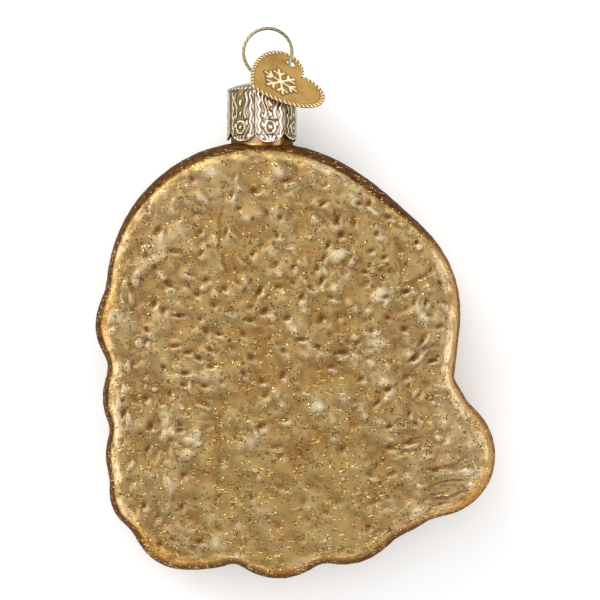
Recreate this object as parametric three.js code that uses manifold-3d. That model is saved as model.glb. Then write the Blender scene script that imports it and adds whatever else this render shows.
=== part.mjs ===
// A blown-glass tree ornament in the shape of an iced biscuit, lying on its face with
// its back up: the glass body with its neck, the stamped metal cap on the neck, the
// wire hanger that springs into the cap, and a heart-shaped tag on the hanger's loop.
// Millimetres, +Z up, +Y from the body towards the hanger.

import * as THREE from 'three';
import { mergeVertices } from 'three/addons/utils/BufferGeometryUtils.js';
import Module from 'manifold-3d';

const wasm = await Module();
wasm.setup();

// ---------------------------------------------------------------- driving sizes

// The body's outline is a soft union of round lobes: centre x, centre y, radius.
const LOBES = [
  { name: 'crown left', x: -8, y: 2.4, r: 29.2 },
  { name: 'crown middle', x: -3, y: 4, r: 25.9 },
  { name: 'crown right', x: 5, y: 5, r: 20.2 },
  { name: 'right shoulder', x: 9.4, y: -2, r: 22.7 },
  { name: 'right waist', x: 16, y: -11, r: 15 },
  { name: 'core', x: -5.5, y: -14, r: 31 },
  { name: 'left bulge', x: -29.5, y: -4.5, r: 9.9 },
  { name: 'curl one', x: -28, y: -18.7, r: 9.9 },
  { name: 'curl two', x: -27.5, y: -29.7, r: 9.9 },
  { name: 'curl three', x: -29.3, y: -37.4, r: 7.3 },
  { name: 'foot left', x: -22, y: -42, r: 10.2 },
  { name: 'foot inner left', x: -17, y: -42, r: 9.9 },
  { name: 'foot middle', x: -3.5, y: -42, r: 12 },
  { name: 'foot right', x: 9, y: -39, r: 12.3 },
  { name: 'step', x: 17.5, y: -34, r: 11.7 },
  { name: 'pompom', x: 26.8, y: -29.8, r: 12.1 },
  { name: 'pompom neck', x: 27, y: -20, r: 5.8 },
];
const LOBE_BLEND = 0.8;
const HUB = { x: -2.3, y: -9.4 };

const BODY = {
  middle: 11.2,
  rimWidth: 4.8,
  rimHeight: 9.4,
  rimPower: 2.6,
  crown: 1.8,
  flatShare: 0.45,
  rays: 150,
  rimSteps: 6,
  topRings: [0.75, 0.5, 0.25],
  undersideRings: [0.72, 0.45],
};

// The neck stands along +Y on the body's top edge; each row is radius, height.
const NECK = {
  x: -6.8,
  base: 24.5,
  top: 41,
  radius: 6.15,
  boreRadius: 4.2,
  boreFloor: 33,
  flare: [[8.2, 25.2], [7.9, 27.2], [7.2, 28.7], [6.45, 29.8]],
  straightFrom: 30.4,
  segments: 36,
};

const CAP = {
  radius: 6.95,
  wall: 0.42,
  top: 41.9,
  dome: 1,
  domeRing: 0.55,
  shoulder: 0.85,
  shoulderSteps: 3,
  bottom: 30.65,
  saddle: 0.95,
  notchDepth: 1.7,
  tabs: 7,
  firstSeam: -11.4,
  columnsPerTab: 12,
  seamWidth: 0.24,
  seamTop: 40.4,
  legHole: 0.75,
  legHoleSides: 14,
};

const HANGER = {
  wire: 0.36,
  loopRadius: 4.75,
  loopHeight: 7.1,
  lean: 9.1,
  legSpread: 1.7,
  legDepth: 5,
  kneeRadius: 1.2,
  sides: 8,
  steps: 70,
};

// The tag's hole rides on the loop at grip degrees below +X.
const TAG = {
  width: 15.7,
  height: 15.8,
  tipRound: 0.05,
  thickness: 0.35,
  plateLap: 0.3,
  borderWidth: 0.9,
  borderThickness: 0.7,
  hole: { x: -3.84, y: 5.47, r: 1.18, sides: 18 },
  points: 56,
  grip: -26,
  slack: 0.25,
  leanToward: 58.2,
  lean: 50,
  turn: -62.8,
};

// The heart's height is a sum of three cosines, highest at crestAt radians.
const HEART = { waves: [13, -3.43, -2.34], crestAt: 0.883 };

// How far a cutter reaches through the thin wall that it cuts.
const CUTTER_REACH = 4;

const GLASS_GOLD = { color: 0xa68756, roughness: 0.35, metalness: 0.7 };
const CAP_METAL = { color: 0xb3a489, roughness: 0.3, metalness: 0.9 };
const WIRE_METAL = { color: 0xb8ac90, roughness: 0.3, metalness: 0.9 };
const TAG_BRASS = { color: 0xb58a4a, roughness: 0.3, metalness: 0.9 };

// ---------------------------------------------------------------- helpers

const radians = THREE.MathUtils.degToRad;

function toSolid(geometry) {
  const bare = geometry.clone();
  bare.deleteAttribute('normal');
  bare.deleteAttribute('uv');
  const merged = mergeVertices(bare, 1e-5);
  return new wasm.Manifold(new wasm.Mesh({
    numProp: 3,
    vertProperties: new Float32Array(merged.attributes.position.array),
    triVerts: new Uint32Array(merged.index.array),
  }));
}

function toGeometry(solid) {
  const mesh = solid.getMesh();
  const geometry = new THREE.BufferGeometry();
  geometry.setAttribute('position', new THREE.BufferAttribute(mesh.vertProperties, 3));
  geometry.setIndex(new THREE.BufferAttribute(mesh.triVerts, 1));
  return geometry;
}

function namedMesh(name, geometry, finish) {
  const mesh = new THREE.Mesh(geometry, new THREE.MeshStandardMaterial(finish));
  mesh.name = name;
  return mesh;
}

// A closed surface from a pole, rings of equal length, and a second pole.
function ringSurface(firstPole, rings, lastPole) {
  const count = rings[0].length;
  const positions = [...firstPole, ...rings.flat(2), ...lastPole];
  const last = positions.length / 3 - 1;
  const at = (row, column) => 1 + row * count + (column % count);
  const index = [];
  for (let column = 0; column < count; column += 1) {
    index.push(0, at(0, column), at(0, column + 1));
    index.push(last, at(rings.length - 1, column + 1), at(rings.length - 1, column));
    for (let row = 0; row + 1 < rings.length; row += 1) {
      index.push(at(row, column), at(row + 1, column), at(row + 1, column + 1));
      index.push(at(row, column), at(row + 1, column + 1), at(row, column + 1));
    }
  }
  const geometry = new THREE.BufferGeometry();
  geometry.setAttribute('position', new THREE.Float32BufferAttribute(positions, 3));
  geometry.setIndex(index);
  return geometry;
}

function bisect(test, inside, outside) {
  let low = inside;
  let high = outside;
  for (let step = 0; step < 30; step += 1) {
    const middle = (low + high) / 2;
    if (test(middle)) low = middle;
    else high = middle;
  }
  return low;
}

// ---------------------------------------------------------------- glass body

// Below zero inside the soft union of the lobes, above zero outside it.
function lobeField(x, y) {
  let sum = 0;
  for (const lobe of LOBES) {
    const depth = Math.hypot(x - lobe.x, y - lobe.y) - lobe.r;
    sum += Math.exp(-depth / LOBE_BLEND);
  }
  return -LOBE_BLEND * Math.log(sum);
}

// A smooth distance to the outline: the power mean of the distances to its short
// spans, scaled so that it is exact along a straight edge.
function edgeDistance(x, y, outline) {
  let sum = 0;
  for (const span of outline) {
    const squared = (x - span.x) ** 2 + (y - span.y) ** 2;
    sum += span.length / squared ** 3;
  }
  return (8 * sum / (3 * Math.PI)) ** (-1 / 5);
}

function bodyRays() {
  const rays = [];
  for (let k = 0; k < BODY.rays; k += 1) {
    const angle = 2 * Math.PI * k / BODY.rays;
    const ray = { cos: Math.cos(angle), sin: Math.sin(angle) };
    const field = (r) => lobeField(HUB.x + r * ray.cos, HUB.y + r * ray.sin);
    ray.edge = bisect((r) => field(r) < 0, 0, 60);
    rays.push(ray);
  }
  const outline = rays.map((ray, k) => {
    const next = rays[(k + 1) % rays.length];
    const from = [HUB.x + ray.edge * ray.cos, HUB.y + ray.edge * ray.sin];
    const to = [HUB.x + next.edge * next.cos, HUB.y + next.edge * next.sin];
    return {
      x: (from[0] + to[0]) / 2,
      y: (from[1] + to[1]) / 2,
      length: Math.hypot(to[0] - from[0], to[1] - from[1]),
    };
  });
  for (const ray of rays) {
    const deep = (r) => {
      const distance = edgeDistance(HUB.x + r * ray.cos, HUB.y + r * ray.sin, outline);
      return distance > BODY.rimWidth;
    };
    ray.rim = bisect(deep, 0, ray.edge - 0.5);
    // Behind the neck the rim is a plain ellipse, which leaves room for the cap's hem.
    const aside = Math.abs(HUB.x + ray.edge * ray.cos - NECK.x);
    const near = ray.sin > 0 ? 1 - THREE.MathUtils.smoothstep(aside, 6, 12) : 0;
    ray.power = BODY.rimPower + (2 - BODY.rimPower) * near;
  }
  return rays;
}

// The back rises in a low crown; the face sinks to a flat spot that it lies on.
function backHeight(share) {
  return BODY.rimHeight + BODY.crown * (1 - share ** 2) ** 2;
}

function faceDepth(share) {
  const rise = THREE.MathUtils.smoothstep(1 - share, 0, 1 - BODY.flatShare);
  return BODY.rimHeight + BODY.crown * rise;
}

function bodyGeometry() {
  const rays = bodyRays();
  const ring = (radius, z) => rays.map((ray) => {
    const r = radius(ray);
    return [HUB.x + r * ray.cos, HUB.y + r * ray.sin, z];
  });
  // The rim's section is a quarter of a squared-off ellipse from the outline up, or down.
  const rimRing = (step, side) => {
    const turn = Math.PI / 2 * step / BODY.rimSteps;
    return rays.map((ray) => {
      const out = Math.max(Math.cos(turn), 0) ** (2 / ray.power);
      const up = Math.sin(turn) ** (2 / ray.power);
      const r = ray.rim + (ray.edge - ray.rim) * out;
      const z = BODY.middle + side * BODY.rimHeight * up;
      return [HUB.x + r * ray.cos, HUB.y + r * ray.sin, z];
    });
  };
  const rings = [];
  for (const share of [...BODY.topRings].reverse()) {
    rings.push(ring((ray) => ray.rim * share, BODY.middle + backHeight(share)));
  }
  for (let step = BODY.rimSteps; step >= 1; step -= 1) rings.push(rimRing(step, 1));
  for (let step = 0; step <= BODY.rimSteps; step += 1) rings.push(rimRing(step, -1));
  for (const share of BODY.undersideRings) {
    rings.push(ring((ray) => ray.rim * share, BODY.middle - faceDepth(share)));
  }
  const top = [HUB.x, HUB.y, BODY.middle + backHeight(0)];
  const bottom = [HUB.x, HUB.y, BODY.middle - faceDepth(0)];
  return ringSurface(top, rings, bottom);
}

// A closed profile of the open neck, spun about its own axis along +Y.
function neckGeometry() {
  const profile = [
    [0, NECK.base],
    ...NECK.flare,
    [NECK.radius, NECK.straightFrom],
    [NECK.radius, NECK.top],
    [NECK.boreRadius, NECK.top],
    [NECK.boreRadius, NECK.boreFloor],
    [0, NECK.boreFloor],
  ];
  const points = profile.map(([r, y]) => new THREE.Vector2(r, y));
  const neck = new THREE.LatheGeometry(points, NECK.segments);
  return neck.translate(NECK.x, 0, BODY.middle);
}

function glassBody() {
  const solid = toSolid(bodyGeometry()).add(toSolid(neckGeometry()));
  return namedMesh('glass_body', toGeometry(solid), GLASS_GOLD);
}

// ---------------------------------------------------------------- cap

// The skirt ends in round scallops between sharp notches, and is a little shorter at
// the two sides, where the glass shoulder is highest.
function skirtEdge(column) {
  const share = (column % CAP.columnsPerTab) / CAP.columnsPerTab;
  const angle = capAngle(column);
  const notch = CAP.notchDepth * Math.abs(2 * share - 1) ** 2.6;
  return CAP.bottom + notch + CAP.saddle * Math.sin(angle) ** 2;
}

function capAngle(column) {
  return radians(CAP.firstSeam + 360 * column / (CAP.tabs * CAP.columnsPerTab));
}

function capShell() {
  const columns = CAP.tabs * CAP.columnsPerTab;
  const ring = (radius, height) => Array.from({ length: columns }, (_, column) => {
    const angle = capAngle(column);
    return [
      NECK.x + radius * Math.sin(angle),
      height === null ? skirtEdge(column) : height,
      BODY.middle + radius * Math.cos(angle),
    ];
  });
  const shoulder = (radius, round, top) => {
    const rings = [];
    for (let step = 0; step <= CAP.shoulderSteps; step += 1) {
      const turn = Math.PI / 2 * step / CAP.shoulderSteps;
      const r = radius - round * (1 - Math.cos(turn));
      rings.push(ring(r, top - round * (1 - Math.sin(turn))));
    }
    return rings;
  };
  const inner = CAP.radius - CAP.wall;
  const innerTop = CAP.top - CAP.wall;
  // The top is a low dome, steepest near the shoulder; its underside is a plain cone.
  const domeRadius = (CAP.radius - CAP.shoulder) * CAP.domeRing;
  const rings = [
    ring(domeRadius, CAP.top + CAP.dome * (1 - CAP.domeRing ** 2)),
    ...shoulder(CAP.radius, CAP.shoulder, CAP.top).reverse(),
    ring(CAP.radius, null),
    ring(inner, null),
    ...shoulder(inner, CAP.shoulder - CAP.wall, innerTop),
  ];
  const outerPole = [NECK.x, CAP.top + CAP.dome, BODY.middle];
  const innerPole = [NECK.x, innerTop + CAP.dome, BODY.middle];
  return toSolid(ringSurface(outerPole, rings, innerPole));
}

// One thin slit up each seam, from below the skirt to just under the shoulder.
function seamCutter(tab) {
  const angle = radians(CAP.firstSeam + 360 * tab / CAP.tabs);
  const low = CAP.bottom - 2;
  const slit = new THREE.BoxGeometry(CAP.seamWidth, CAP.seamTop - low, CUTTER_REACH);
  slit.translate(0, (CAP.seamTop + low) / 2, CAP.radius);
  slit.rotateY(angle);
  return slit.translate(NECK.x, 0, BODY.middle);
}

function legHoleCutter(side) {
  const hole = new THREE.CylinderGeometry(CAP.legHole, CAP.legHole, CUTTER_REACH, CAP.legHoleSides);
  hole.translate(side * HANGER.legSpread, 0, 0);
  hole.rotateZ(-radians(HANGER.lean));
  return hole.translate(NECK.x, CAP.top, BODY.middle);
}

function cap() {
  let shell = capShell();
  for (let tab = 0; tab < CAP.tabs; tab += 1) {
    shell = shell.subtract(toSolid(seamCutter(tab)));
  }
  for (const side of [-1, 1]) shell = shell.subtract(toSolid(legHoleCutter(side)));
  return namedMesh('cap', toGeometry(shell), CAP_METAL);
}

// ---------------------------------------------------------------- hanger

// Half of the wire from the loop's top down to a leg's end: the loop's arc, the knee
// that turns it down through the cap, and the straight leg.
function hangerHalf() {
  const reach = HANGER.loopRadius + HANGER.kneeRadius;
  const kneeX = HANGER.legSpread + HANGER.kneeRadius;
  const kneeY = HANGER.loopHeight - Math.sqrt(reach ** 2 - kneeX ** 2);
  const meet = Math.atan2(HANGER.loopHeight - kneeY, -kneeX);
  const points = [];
  const arc = (cx, cy, radius, from, to, count) => {
    for (let k = 0; k <= count; k += 1) {
      const angle = from + (to - from) * k / count;
      points.push([cx + radius * Math.cos(angle), cy + radius * Math.sin(angle)]);
    }
  };
  arc(0, HANGER.loopHeight, HANGER.loopRadius, Math.PI / 2, meet - Math.PI, 24);
  points.pop();
  arc(kneeX, kneeY, HANGER.kneeRadius, meet, Math.PI, 4);
  points.push([HANGER.legSpread, 0]);
  points.push([HANGER.legSpread, -HANGER.legDepth]);
  return points;
}

function hanger() {
  const right = hangerHalf();
  const left = right.slice(1).map(([x, y]) => [-x, y]).reverse();
  const route = [...left, ...right].map(([x, y]) => new THREE.Vector3(x, y, 0));
  const path = new THREE.CatmullRomCurve3(route, false, 'centripetal');
  const section = new THREE.Shape();
  for (let side = 0; side < HANGER.sides; side += 1) {
    const angle = 2 * Math.PI * side / HANGER.sides;
    const point = [HANGER.wire * Math.cos(angle), HANGER.wire * Math.sin(angle)];
    if (side === 0) section.moveTo(...point);
    else section.lineTo(...point);
  }
  const wire = new THREE.ExtrudeGeometry(section, {
    steps: HANGER.steps,
    extrudePath: path,
    bevelEnabled: false,
  });
  const mesh = namedMesh('hanger', wire, WIRE_METAL);
  mesh.position.set(NECK.x, CAP.top, BODY.middle);
  mesh.rotation.z = -radians(HANGER.lean);
  return mesh;
}

// ---------------------------------------------------------------- tag

// The heart: across it runs the cube of a sine with a little plain sine, which rounds
// the tip, and up it runs the sum of cosines.
function heartPoint(t) {
  const waves = HEART.waves;
  const rise = (u) => waves.reduce((sum, size, k) => sum + size * Math.cos((k + 1) * u), 0);
  const lowest = rise(Math.PI);
  const highest = rise(HEART.crestAt);
  const across = (1 - TAG.tipRound) * Math.sin(t) ** 3 + TAG.tipRound * Math.sin(t);
  return new THREE.Vector2(
    TAG.width / 2 * across,
    TAG.height * ((rise(t) - lowest) / (highest - lowest) - 0.5),
  );
}

function heartOutline(scale) {
  const points = [];
  for (let k = 0; k < TAG.points; k += 1) {
    const t = 2 * Math.PI * (k + 0.5) / TAG.points;
    points.push(heartPoint(t).multiplyScalar(scale));
  }
  return points;
}

function slab(outline, thickness) {
  const options = { depth: thickness, bevelEnabled: false };
  const plate = new THREE.ExtrudeGeometry(new THREE.Shape(outline), options);
  return toSolid(plate.translate(0, 0, -thickness / 2));
}

function tag() {
  const scaleFor = (inset) => 1 - 2 * inset / TAG.width;
  const plateInset = TAG.borderWidth - TAG.plateLap;
  const plate = slab(heartOutline(scaleFor(plateInset)), TAG.thickness);
  const inside = slab(heartOutline(scaleFor(TAG.borderWidth)), 2 * TAG.borderThickness);
  const border = slab(heartOutline(1), TAG.borderThickness).subtract(inside);
  const drill = new THREE.CylinderGeometry(TAG.hole.r, TAG.hole.r, CUTTER_REACH, TAG.hole.sides);
  drill.rotateX(Math.PI / 2);
  drill.translate(TAG.hole.x, TAG.hole.y, 0);
  const solid = plate.add(border).subtract(toSolid(drill));
  const mesh = namedMesh('tag', toGeometry(solid), TAG_BRASS);
  mesh.position.set(-TAG.hole.x, -TAG.hole.y, 0);

  // The tag is turned in its own plane, then leaned back over the cap's edge.
  const loop = new THREE.Vector3(0, HANGER.loopHeight, 0);
  loop.applyAxisAngle(new THREE.Vector3(0, 0, 1), -radians(HANGER.lean));
  loop.add(new THREE.Vector3(NECK.x, CAP.top, BODY.middle));
  const grip = radians(TAG.grip);
  const reach = HANGER.loopRadius + TAG.slack;
  const toward = radians(TAG.leanToward);
  const leanAxis = new THREE.Vector3(-Math.sin(toward), Math.cos(toward), 0);
  const seat = new THREE.Group();
  seat.position.set(loop.x + reach * Math.cos(grip), loop.y + reach * Math.sin(grip), loop.z);
  seat.rotateOnAxis(leanAxis, radians(TAG.lean));
  seat.rotateZ(radians(TAG.turn));
  seat.add(mesh);
  return seat;
}

// ---------------------------------------------------------------- whole ornament

const ornament = new THREE.Group();
ornament.add(glassBody(), cap(), hanger(), tag());

// The origin is under the middle of the whole piece, on the surface that it lies on.
const box = new THREE.Box3().setFromObject(ornament, true);
ornament.position.set(-(box.min.x + box.max.x) / 2, -(box.min.y + box.max.y) / 2, -box.min.z);

export default ornament;
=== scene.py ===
"""The looks of a blown-glass tree ornament in the shape of an iced biscuit.

It lies on its face with its back up: the lacquered and glittered glass, the stamped cap
on its neck, the wire hanger and the heart-shaped tag on the hanger's loop. Shapes are
worked out in millimetres, and a mesh is scaled to the frame's metres when it is made.
"""

import logging
from dataclasses import dataclass, field
from enum import Enum
from typing import Callable, Sequence

import bpy
import numpy as np
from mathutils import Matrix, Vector


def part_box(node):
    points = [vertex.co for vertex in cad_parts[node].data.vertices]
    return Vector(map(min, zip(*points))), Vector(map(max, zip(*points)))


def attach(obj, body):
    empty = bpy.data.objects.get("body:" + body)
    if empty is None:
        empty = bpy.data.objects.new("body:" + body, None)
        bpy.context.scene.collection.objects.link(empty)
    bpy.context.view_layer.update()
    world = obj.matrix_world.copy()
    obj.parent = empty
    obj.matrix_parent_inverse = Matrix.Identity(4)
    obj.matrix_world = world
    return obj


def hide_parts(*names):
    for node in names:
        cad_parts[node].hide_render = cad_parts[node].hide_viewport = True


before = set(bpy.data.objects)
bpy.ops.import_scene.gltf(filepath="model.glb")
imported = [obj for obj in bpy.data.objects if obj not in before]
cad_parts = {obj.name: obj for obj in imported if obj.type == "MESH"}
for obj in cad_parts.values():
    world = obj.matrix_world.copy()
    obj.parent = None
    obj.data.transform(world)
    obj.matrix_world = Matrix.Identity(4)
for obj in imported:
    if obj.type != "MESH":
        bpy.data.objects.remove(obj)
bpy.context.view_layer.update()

log = logging.getLogger("ornament")

MM = 0.001
TURN = 2 * np.pi
# How high the cap's top lies in the solids' own frame, in millimetres.
CAP_POLE = 42.9

Array = np.ndarray
Pair = tuple[float, float]
Point = tuple[float, float, float]
Colour = tuple[float, float, float]
Mesh = tuple[Array, list[Array]]
Piece = bpy.types.Object
Material = bpy.types.Material
Node = bpy.types.Node
Tree = bpy.types.NodeTree
Socket = bpy.types.NodeSocket


class Body(str, Enum):
    """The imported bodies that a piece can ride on."""

    ORNAMENT = "ornament"
    TAG = "tag"


class Slot(str, Enum):
    """The record's material slots."""

    GLASS = "gold_lacquered_glass"
    CAP = "stamped_cap_metal"
    WIRE = "hanger_wire"
    TAG = "tag_brass"


class Side(Enum):
    """The two sides of the glass, by the sign of the height above its middle plane."""

    BACK = 1
    FACE = -1


# ---- small mathematics


def rgb(red: int, green: int, blue: int) -> Colour:
    """A linear colour from three display values of 0 to 255."""
    return tuple(((value / 255 + 0.055) / 1.055) ** 2.4 for value in (red, green, blue))


def plain_share(value: Array, low: float, high: float) -> Array:
    """The share of the way from low to high, kept between 0 and 1."""
    return np.clip((value - low) / (high - low), 0, 1)


def smoothstep(value: Array, low: float, high: float) -> Array:
    """Zero below low, one above high, and a smooth cubic step between them."""
    share = plain_share(value, low, high)
    return share * share * (3 - 2 * share)


def bell(distance: Array, width: float) -> Array:
    """The exponential of minus the squared distance, in widths."""
    return np.exp(-((distance / width) ** 2))


def dome(distance: Array, width: float) -> Array:
    """One less the squared distance in widths, and nothing past the width."""
    return np.clip(1 - (distance / width) ** 2, 0, 1)


def circle(count: int) -> Array:
    """Even angles once round a circle, from 0."""
    return TURN * np.arange(count) / count


def gradient_noise(x: Array, y: Array, cell: Pair, seed: int) -> Array:
    """Smooth noise of about one swell in each cell.

    Every corner of a lattice has a random slope, and a point blends the four planes
    through its corners with a fifth-power ease.

    Args:
        x, y: Where to read it.
        cell: The lattice's spacing across and up.
        seed: The random seed of the slopes.

    Returns:
        Values from about -1 to 1.
    """
    slopes = np.random.default_rng(seed).uniform(0, TURN, (64, 64))
    across, up = x / cell[0] + 31.4, y / cell[1] + 27.2
    column, row = np.floor(across).astype(int), np.floor(up).astype(int)
    fx, fy = across - column, up - row

    def plane(dx: int, dy: int) -> Array:
        """The plane through one corner of the cell."""
        slope = slopes[(column + dx) % 64, (row + dy) % 64]
        return np.cos(slope) * (fx - dx) + np.sin(slope) * (fy - dy)

    ease_x = fx**3 * (fx * (fx * 6 - 15) + 10)
    ease_y = fy**3 * (fy * (fy * 6 - 15) + 10)
    low = plane(0, 0) * (1 - ease_x) + plane(1, 0) * ease_x
    high = plane(0, 1) * (1 - ease_x) + plane(1, 1) * ease_x
    return 1.5 * (low * (1 - ease_y) + high * ease_y)


def turn_matrix(axis: Sequence[float], degrees: float) -> Array:
    """The rotation by an angle about a unit axis, by Rodrigues' formula."""
    x, y, z = axis
    cross = np.array([[0, -z, y], [z, 0, -x], [-y, x, 0]])
    angle = np.radians(degrees)
    return np.eye(3) + np.sin(angle) * cross + (1 - np.cos(angle)) * cross @ cross


def near_strokes(x: Array, y: Array, strokes: Sequence[Array]) -> Array:
    """The distance from each point to the nearest of some strokes.

    Args:
        x, y: The points.
        strokes: Each an array of points, two columns, close together along a line.

    Returns:
        The distances, in the shape of x.
    """
    best = np.full(x.shape, np.inf)
    for point_x, point_y in np.vstack(strokes):
        best = np.minimum(best, (x - point_x) ** 2 + (y - point_y) ** 2)
    return np.sqrt(best)


def dense_line(points: Sequence[Pair], step: float) -> Array:
    """Points at even steps along a broken line."""
    corners = np.array(points, float)
    lengths = np.hypot(*np.diff(corners, axis=0).T)
    along = np.concatenate([[0], np.cumsum(lengths)])
    places = np.linspace(0, along[-1], int(np.ceil(along[-1] / step)) + 1)
    return np.stack([np.interp(places, along, corners[:, k]) for k in (0, 1)], axis=1)


# ---- meshes


@dataclass
class Sheet:
    """An open sheet of four-sided faces: a disc of square cells carried on by rings.

    Attributes:
        reach: How far each vertex is out: 0 at the middle, 1 at the disc's border and
            then evenly up to 2 at the last ring.
        angle: The direction of each vertex about the middle, in radians.
        faces: Four vertices in each row, counterclockwise as seen from above.
        border: The outermost vertices, in the order of their angles.
    """

    reach: Array
    angle: Array
    faces: Array
    border: Array

    @classmethod
    def disc(cls, cells: int, rings: int = 0) -> "Sheet":
        """A square grid of cells bent into a disc, with rings around it.

        A square's point keeps its larger coordinate as its reach, and its smaller one,
        over the larger, as its share of an eighth of a turn.

        Args:
            cells: Cells along each side of the square. The border has four times that.
            rings: Rings of as many faces beyond the disc.

        Returns:
            The sheet.
        """
        axis = np.linspace(-1, 1, cells + 1)
        u, v = (side.ravel() for side in np.meshgrid(axis, axis, indexing="ij"))
        wide = abs(u) >= abs(v)
        larger = np.where(wide, u, v)
        smaller = np.where(wide, v, u)
        share = smaller / np.where(larger == 0, 1, larger) * np.pi / 4
        angle = np.where(wide, share, np.pi / 2 - share) + np.where(larger < 0, np.pi, 0)
        reach = abs(larger)
        index = np.arange((cells + 1) ** 2).reshape(cells + 1, cells + 1)
        quads = np.stack([index[:-1, :-1], index[1:, :-1], index[1:, 1:], index[:-1, 1:]])
        faces = [quads.reshape(4, -1).T]
        edge = np.flatnonzero(reach == 1)
        border = edge[np.argsort(angle[edge] % TURN - 1e-9)]
        turns = circle(4 * cells)
        for ring in range(1, rings + 1):
            fresh = len(reach) + np.arange(4 * cells)
            faces.append(ring_faces(border, fresh))
            reach = np.concatenate([reach, np.full(4 * cells, 1 + ring / rings)])
            angle = np.concatenate([angle, turns])
            border = fresh
        return cls(reach, angle % TURN, np.concatenate(faces), border)

    def punch(self, x: Array, y: Array, centre: Pair, radius: float) -> None:
        """Takes the faces inside a circle out, and draws the ragged edge onto it.

        Args:
            x, y: The vertices' places, which are changed along the edge.
            centre: The hole's middle.
            radius: The hole's radius.
        """
        far = np.hypot(x - centre[0], y - centre[1])
        inside = far[self.faces].mean(axis=1) < radius
        gone = np.unique(self.faces[inside])
        self.faces = self.faces[~inside]
        rim = np.intersect1d(gone, np.unique(self.faces))
        x[rim] = centre[0] + (x[rim] - centre[0]) * radius / far[rim]
        y[rim] = centre[1] + (y[rim] - centre[1]) * radius / far[rim]

    def closed(self, upper: Array, lower: Array) -> tuple[Array, list[Array], Array]:
        """A solid from two layers of this sheet, joined along every open edge.

        Args:
            upper, lower: The places of the vertices in the two layers.

        Returns:
            The vertices that the faces use, the faces, and those vertices' indices among
            the upper layer's and then the lower one's.
        """
        count = len(upper)
        ends = np.roll(self.faces, -1, axis=1)
        starts, ends = self.faces.ravel(), ends.ravel()
        twins = np.isin(starts * count + ends, ends * count + starts)
        a, b = starts[~twins], ends[~twins]
        walls = np.stack([b, a, a + count, b + count], axis=1)
        faces = np.concatenate([self.faces, self.faces[:, ::-1] + count, walls])
        used, fresh = np.unique(faces, return_inverse=True)
        return np.concatenate([upper, lower])[used], [fresh.reshape(faces.shape)], used


def ring_faces(inner: Array, outer: Array) -> Array:
    """Four-sided faces between two rings of as many vertices, counterclockwise."""
    return np.stack([inner, outer, np.roll(outer, -1), np.roll(inner, -1)], axis=1)


def tube(rings: Array, wraps: bool) -> Mesh:
    """A closed tube from its rings of points.

    Args:
        rings: Points by ring, by place in the ring, by coordinate. A ring runs
            clockwise as seen by one who looks along the tube.
        wraps: Whether the last ring joins the first. If not, each end is closed by a
            fan to the middle of its ring.

    Returns:
        The vertices, and the faces.
    """
    count, sides = rings.shape[:2]
    index = np.arange(count * sides).reshape(count, sides)
    after = np.roll(index, -1, axis=0) if wraps else index[1:]
    before = index if wraps else index[:-1]
    quads = np.stack([before, np.roll(before, -1, 1), np.roll(after, -1, 1), after])
    vertices = rings.reshape(-1, 3)
    faces = [quads.reshape(4, -1).T]
    if not wraps:
        poles = len(vertices) + np.arange(2)
        vertices = np.concatenate([vertices, rings[[0, -1]].mean(axis=1)])
        first = np.stack([np.full(sides, poles[0]), np.roll(index[0], -1), index[0]], 1)
        last = np.stack([np.full(sides, poles[1]), index[-1], np.roll(index[-1], -1)], 1)
        faces.append(np.concatenate([first, last]))
    return vertices, faces


def make_piece(name: str, vertices: Array, faces: list[Array], smooth: bool = True,
               **values: Array) -> Piece:
    """A mesh object, scaled to metres, at the origin.

    Args:
        name: The object's name.
        vertices: Places in millimetres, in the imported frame.
        faces: Arrays of faces; the faces of one array have the same number of corners.
        smooth: Whether the faces are shaded as one smooth surface.
        values: A number or a linear colour with its alpha for each vertex, by the name
            that a material reads it by.

    Returns:
        The object, which is in the scene.
    """
    mesh = bpy.data.meshes.new(name)
    corners = np.concatenate([group.ravel() for group in faces]).astype(np.int32)
    sizes = np.concatenate([np.full(len(group), group.shape[1]) for group in faces])
    mesh.vertices.add(len(vertices))
    mesh.vertices.foreach_set("co", (vertices * MM).astype(np.float32).ravel())
    mesh.loops.add(len(corners))
    mesh.loops.foreach_set("vertex_index", corners)
    mesh.polygons.add(len(sizes))
    mesh.polygons.foreach_set("loop_start", (np.cumsum(sizes) - sizes).astype(np.int32))
    mesh.update(calc_edges=True)
    mesh.polygons.foreach_set("use_smooth", np.full(len(sizes), smooth))
    for value_name, given in values.items():
        kind, item = ("FLOAT", "value") if given.ndim == 1 else ("FLOAT_COLOR", "color")
        layer = mesh.attributes.new(value_name, kind, "POINT")
        layer.data.foreach_set(item, given.astype(np.float32).ravel())
    piece = bpy.data.objects.new(name, mesh)
    bpy.context.scene.collection.objects.link(piece)
    return piece


def read_rows(rows: Sequence, name: str, width: int, kind: type) -> Array:
    """One property of a mesh's elements, in a row of that width for each."""
    values = np.empty(len(rows) * width, kind)
    rows.foreach_get(name, values)
    return values.reshape(-1, width)


# ---- shader wiring


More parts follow.
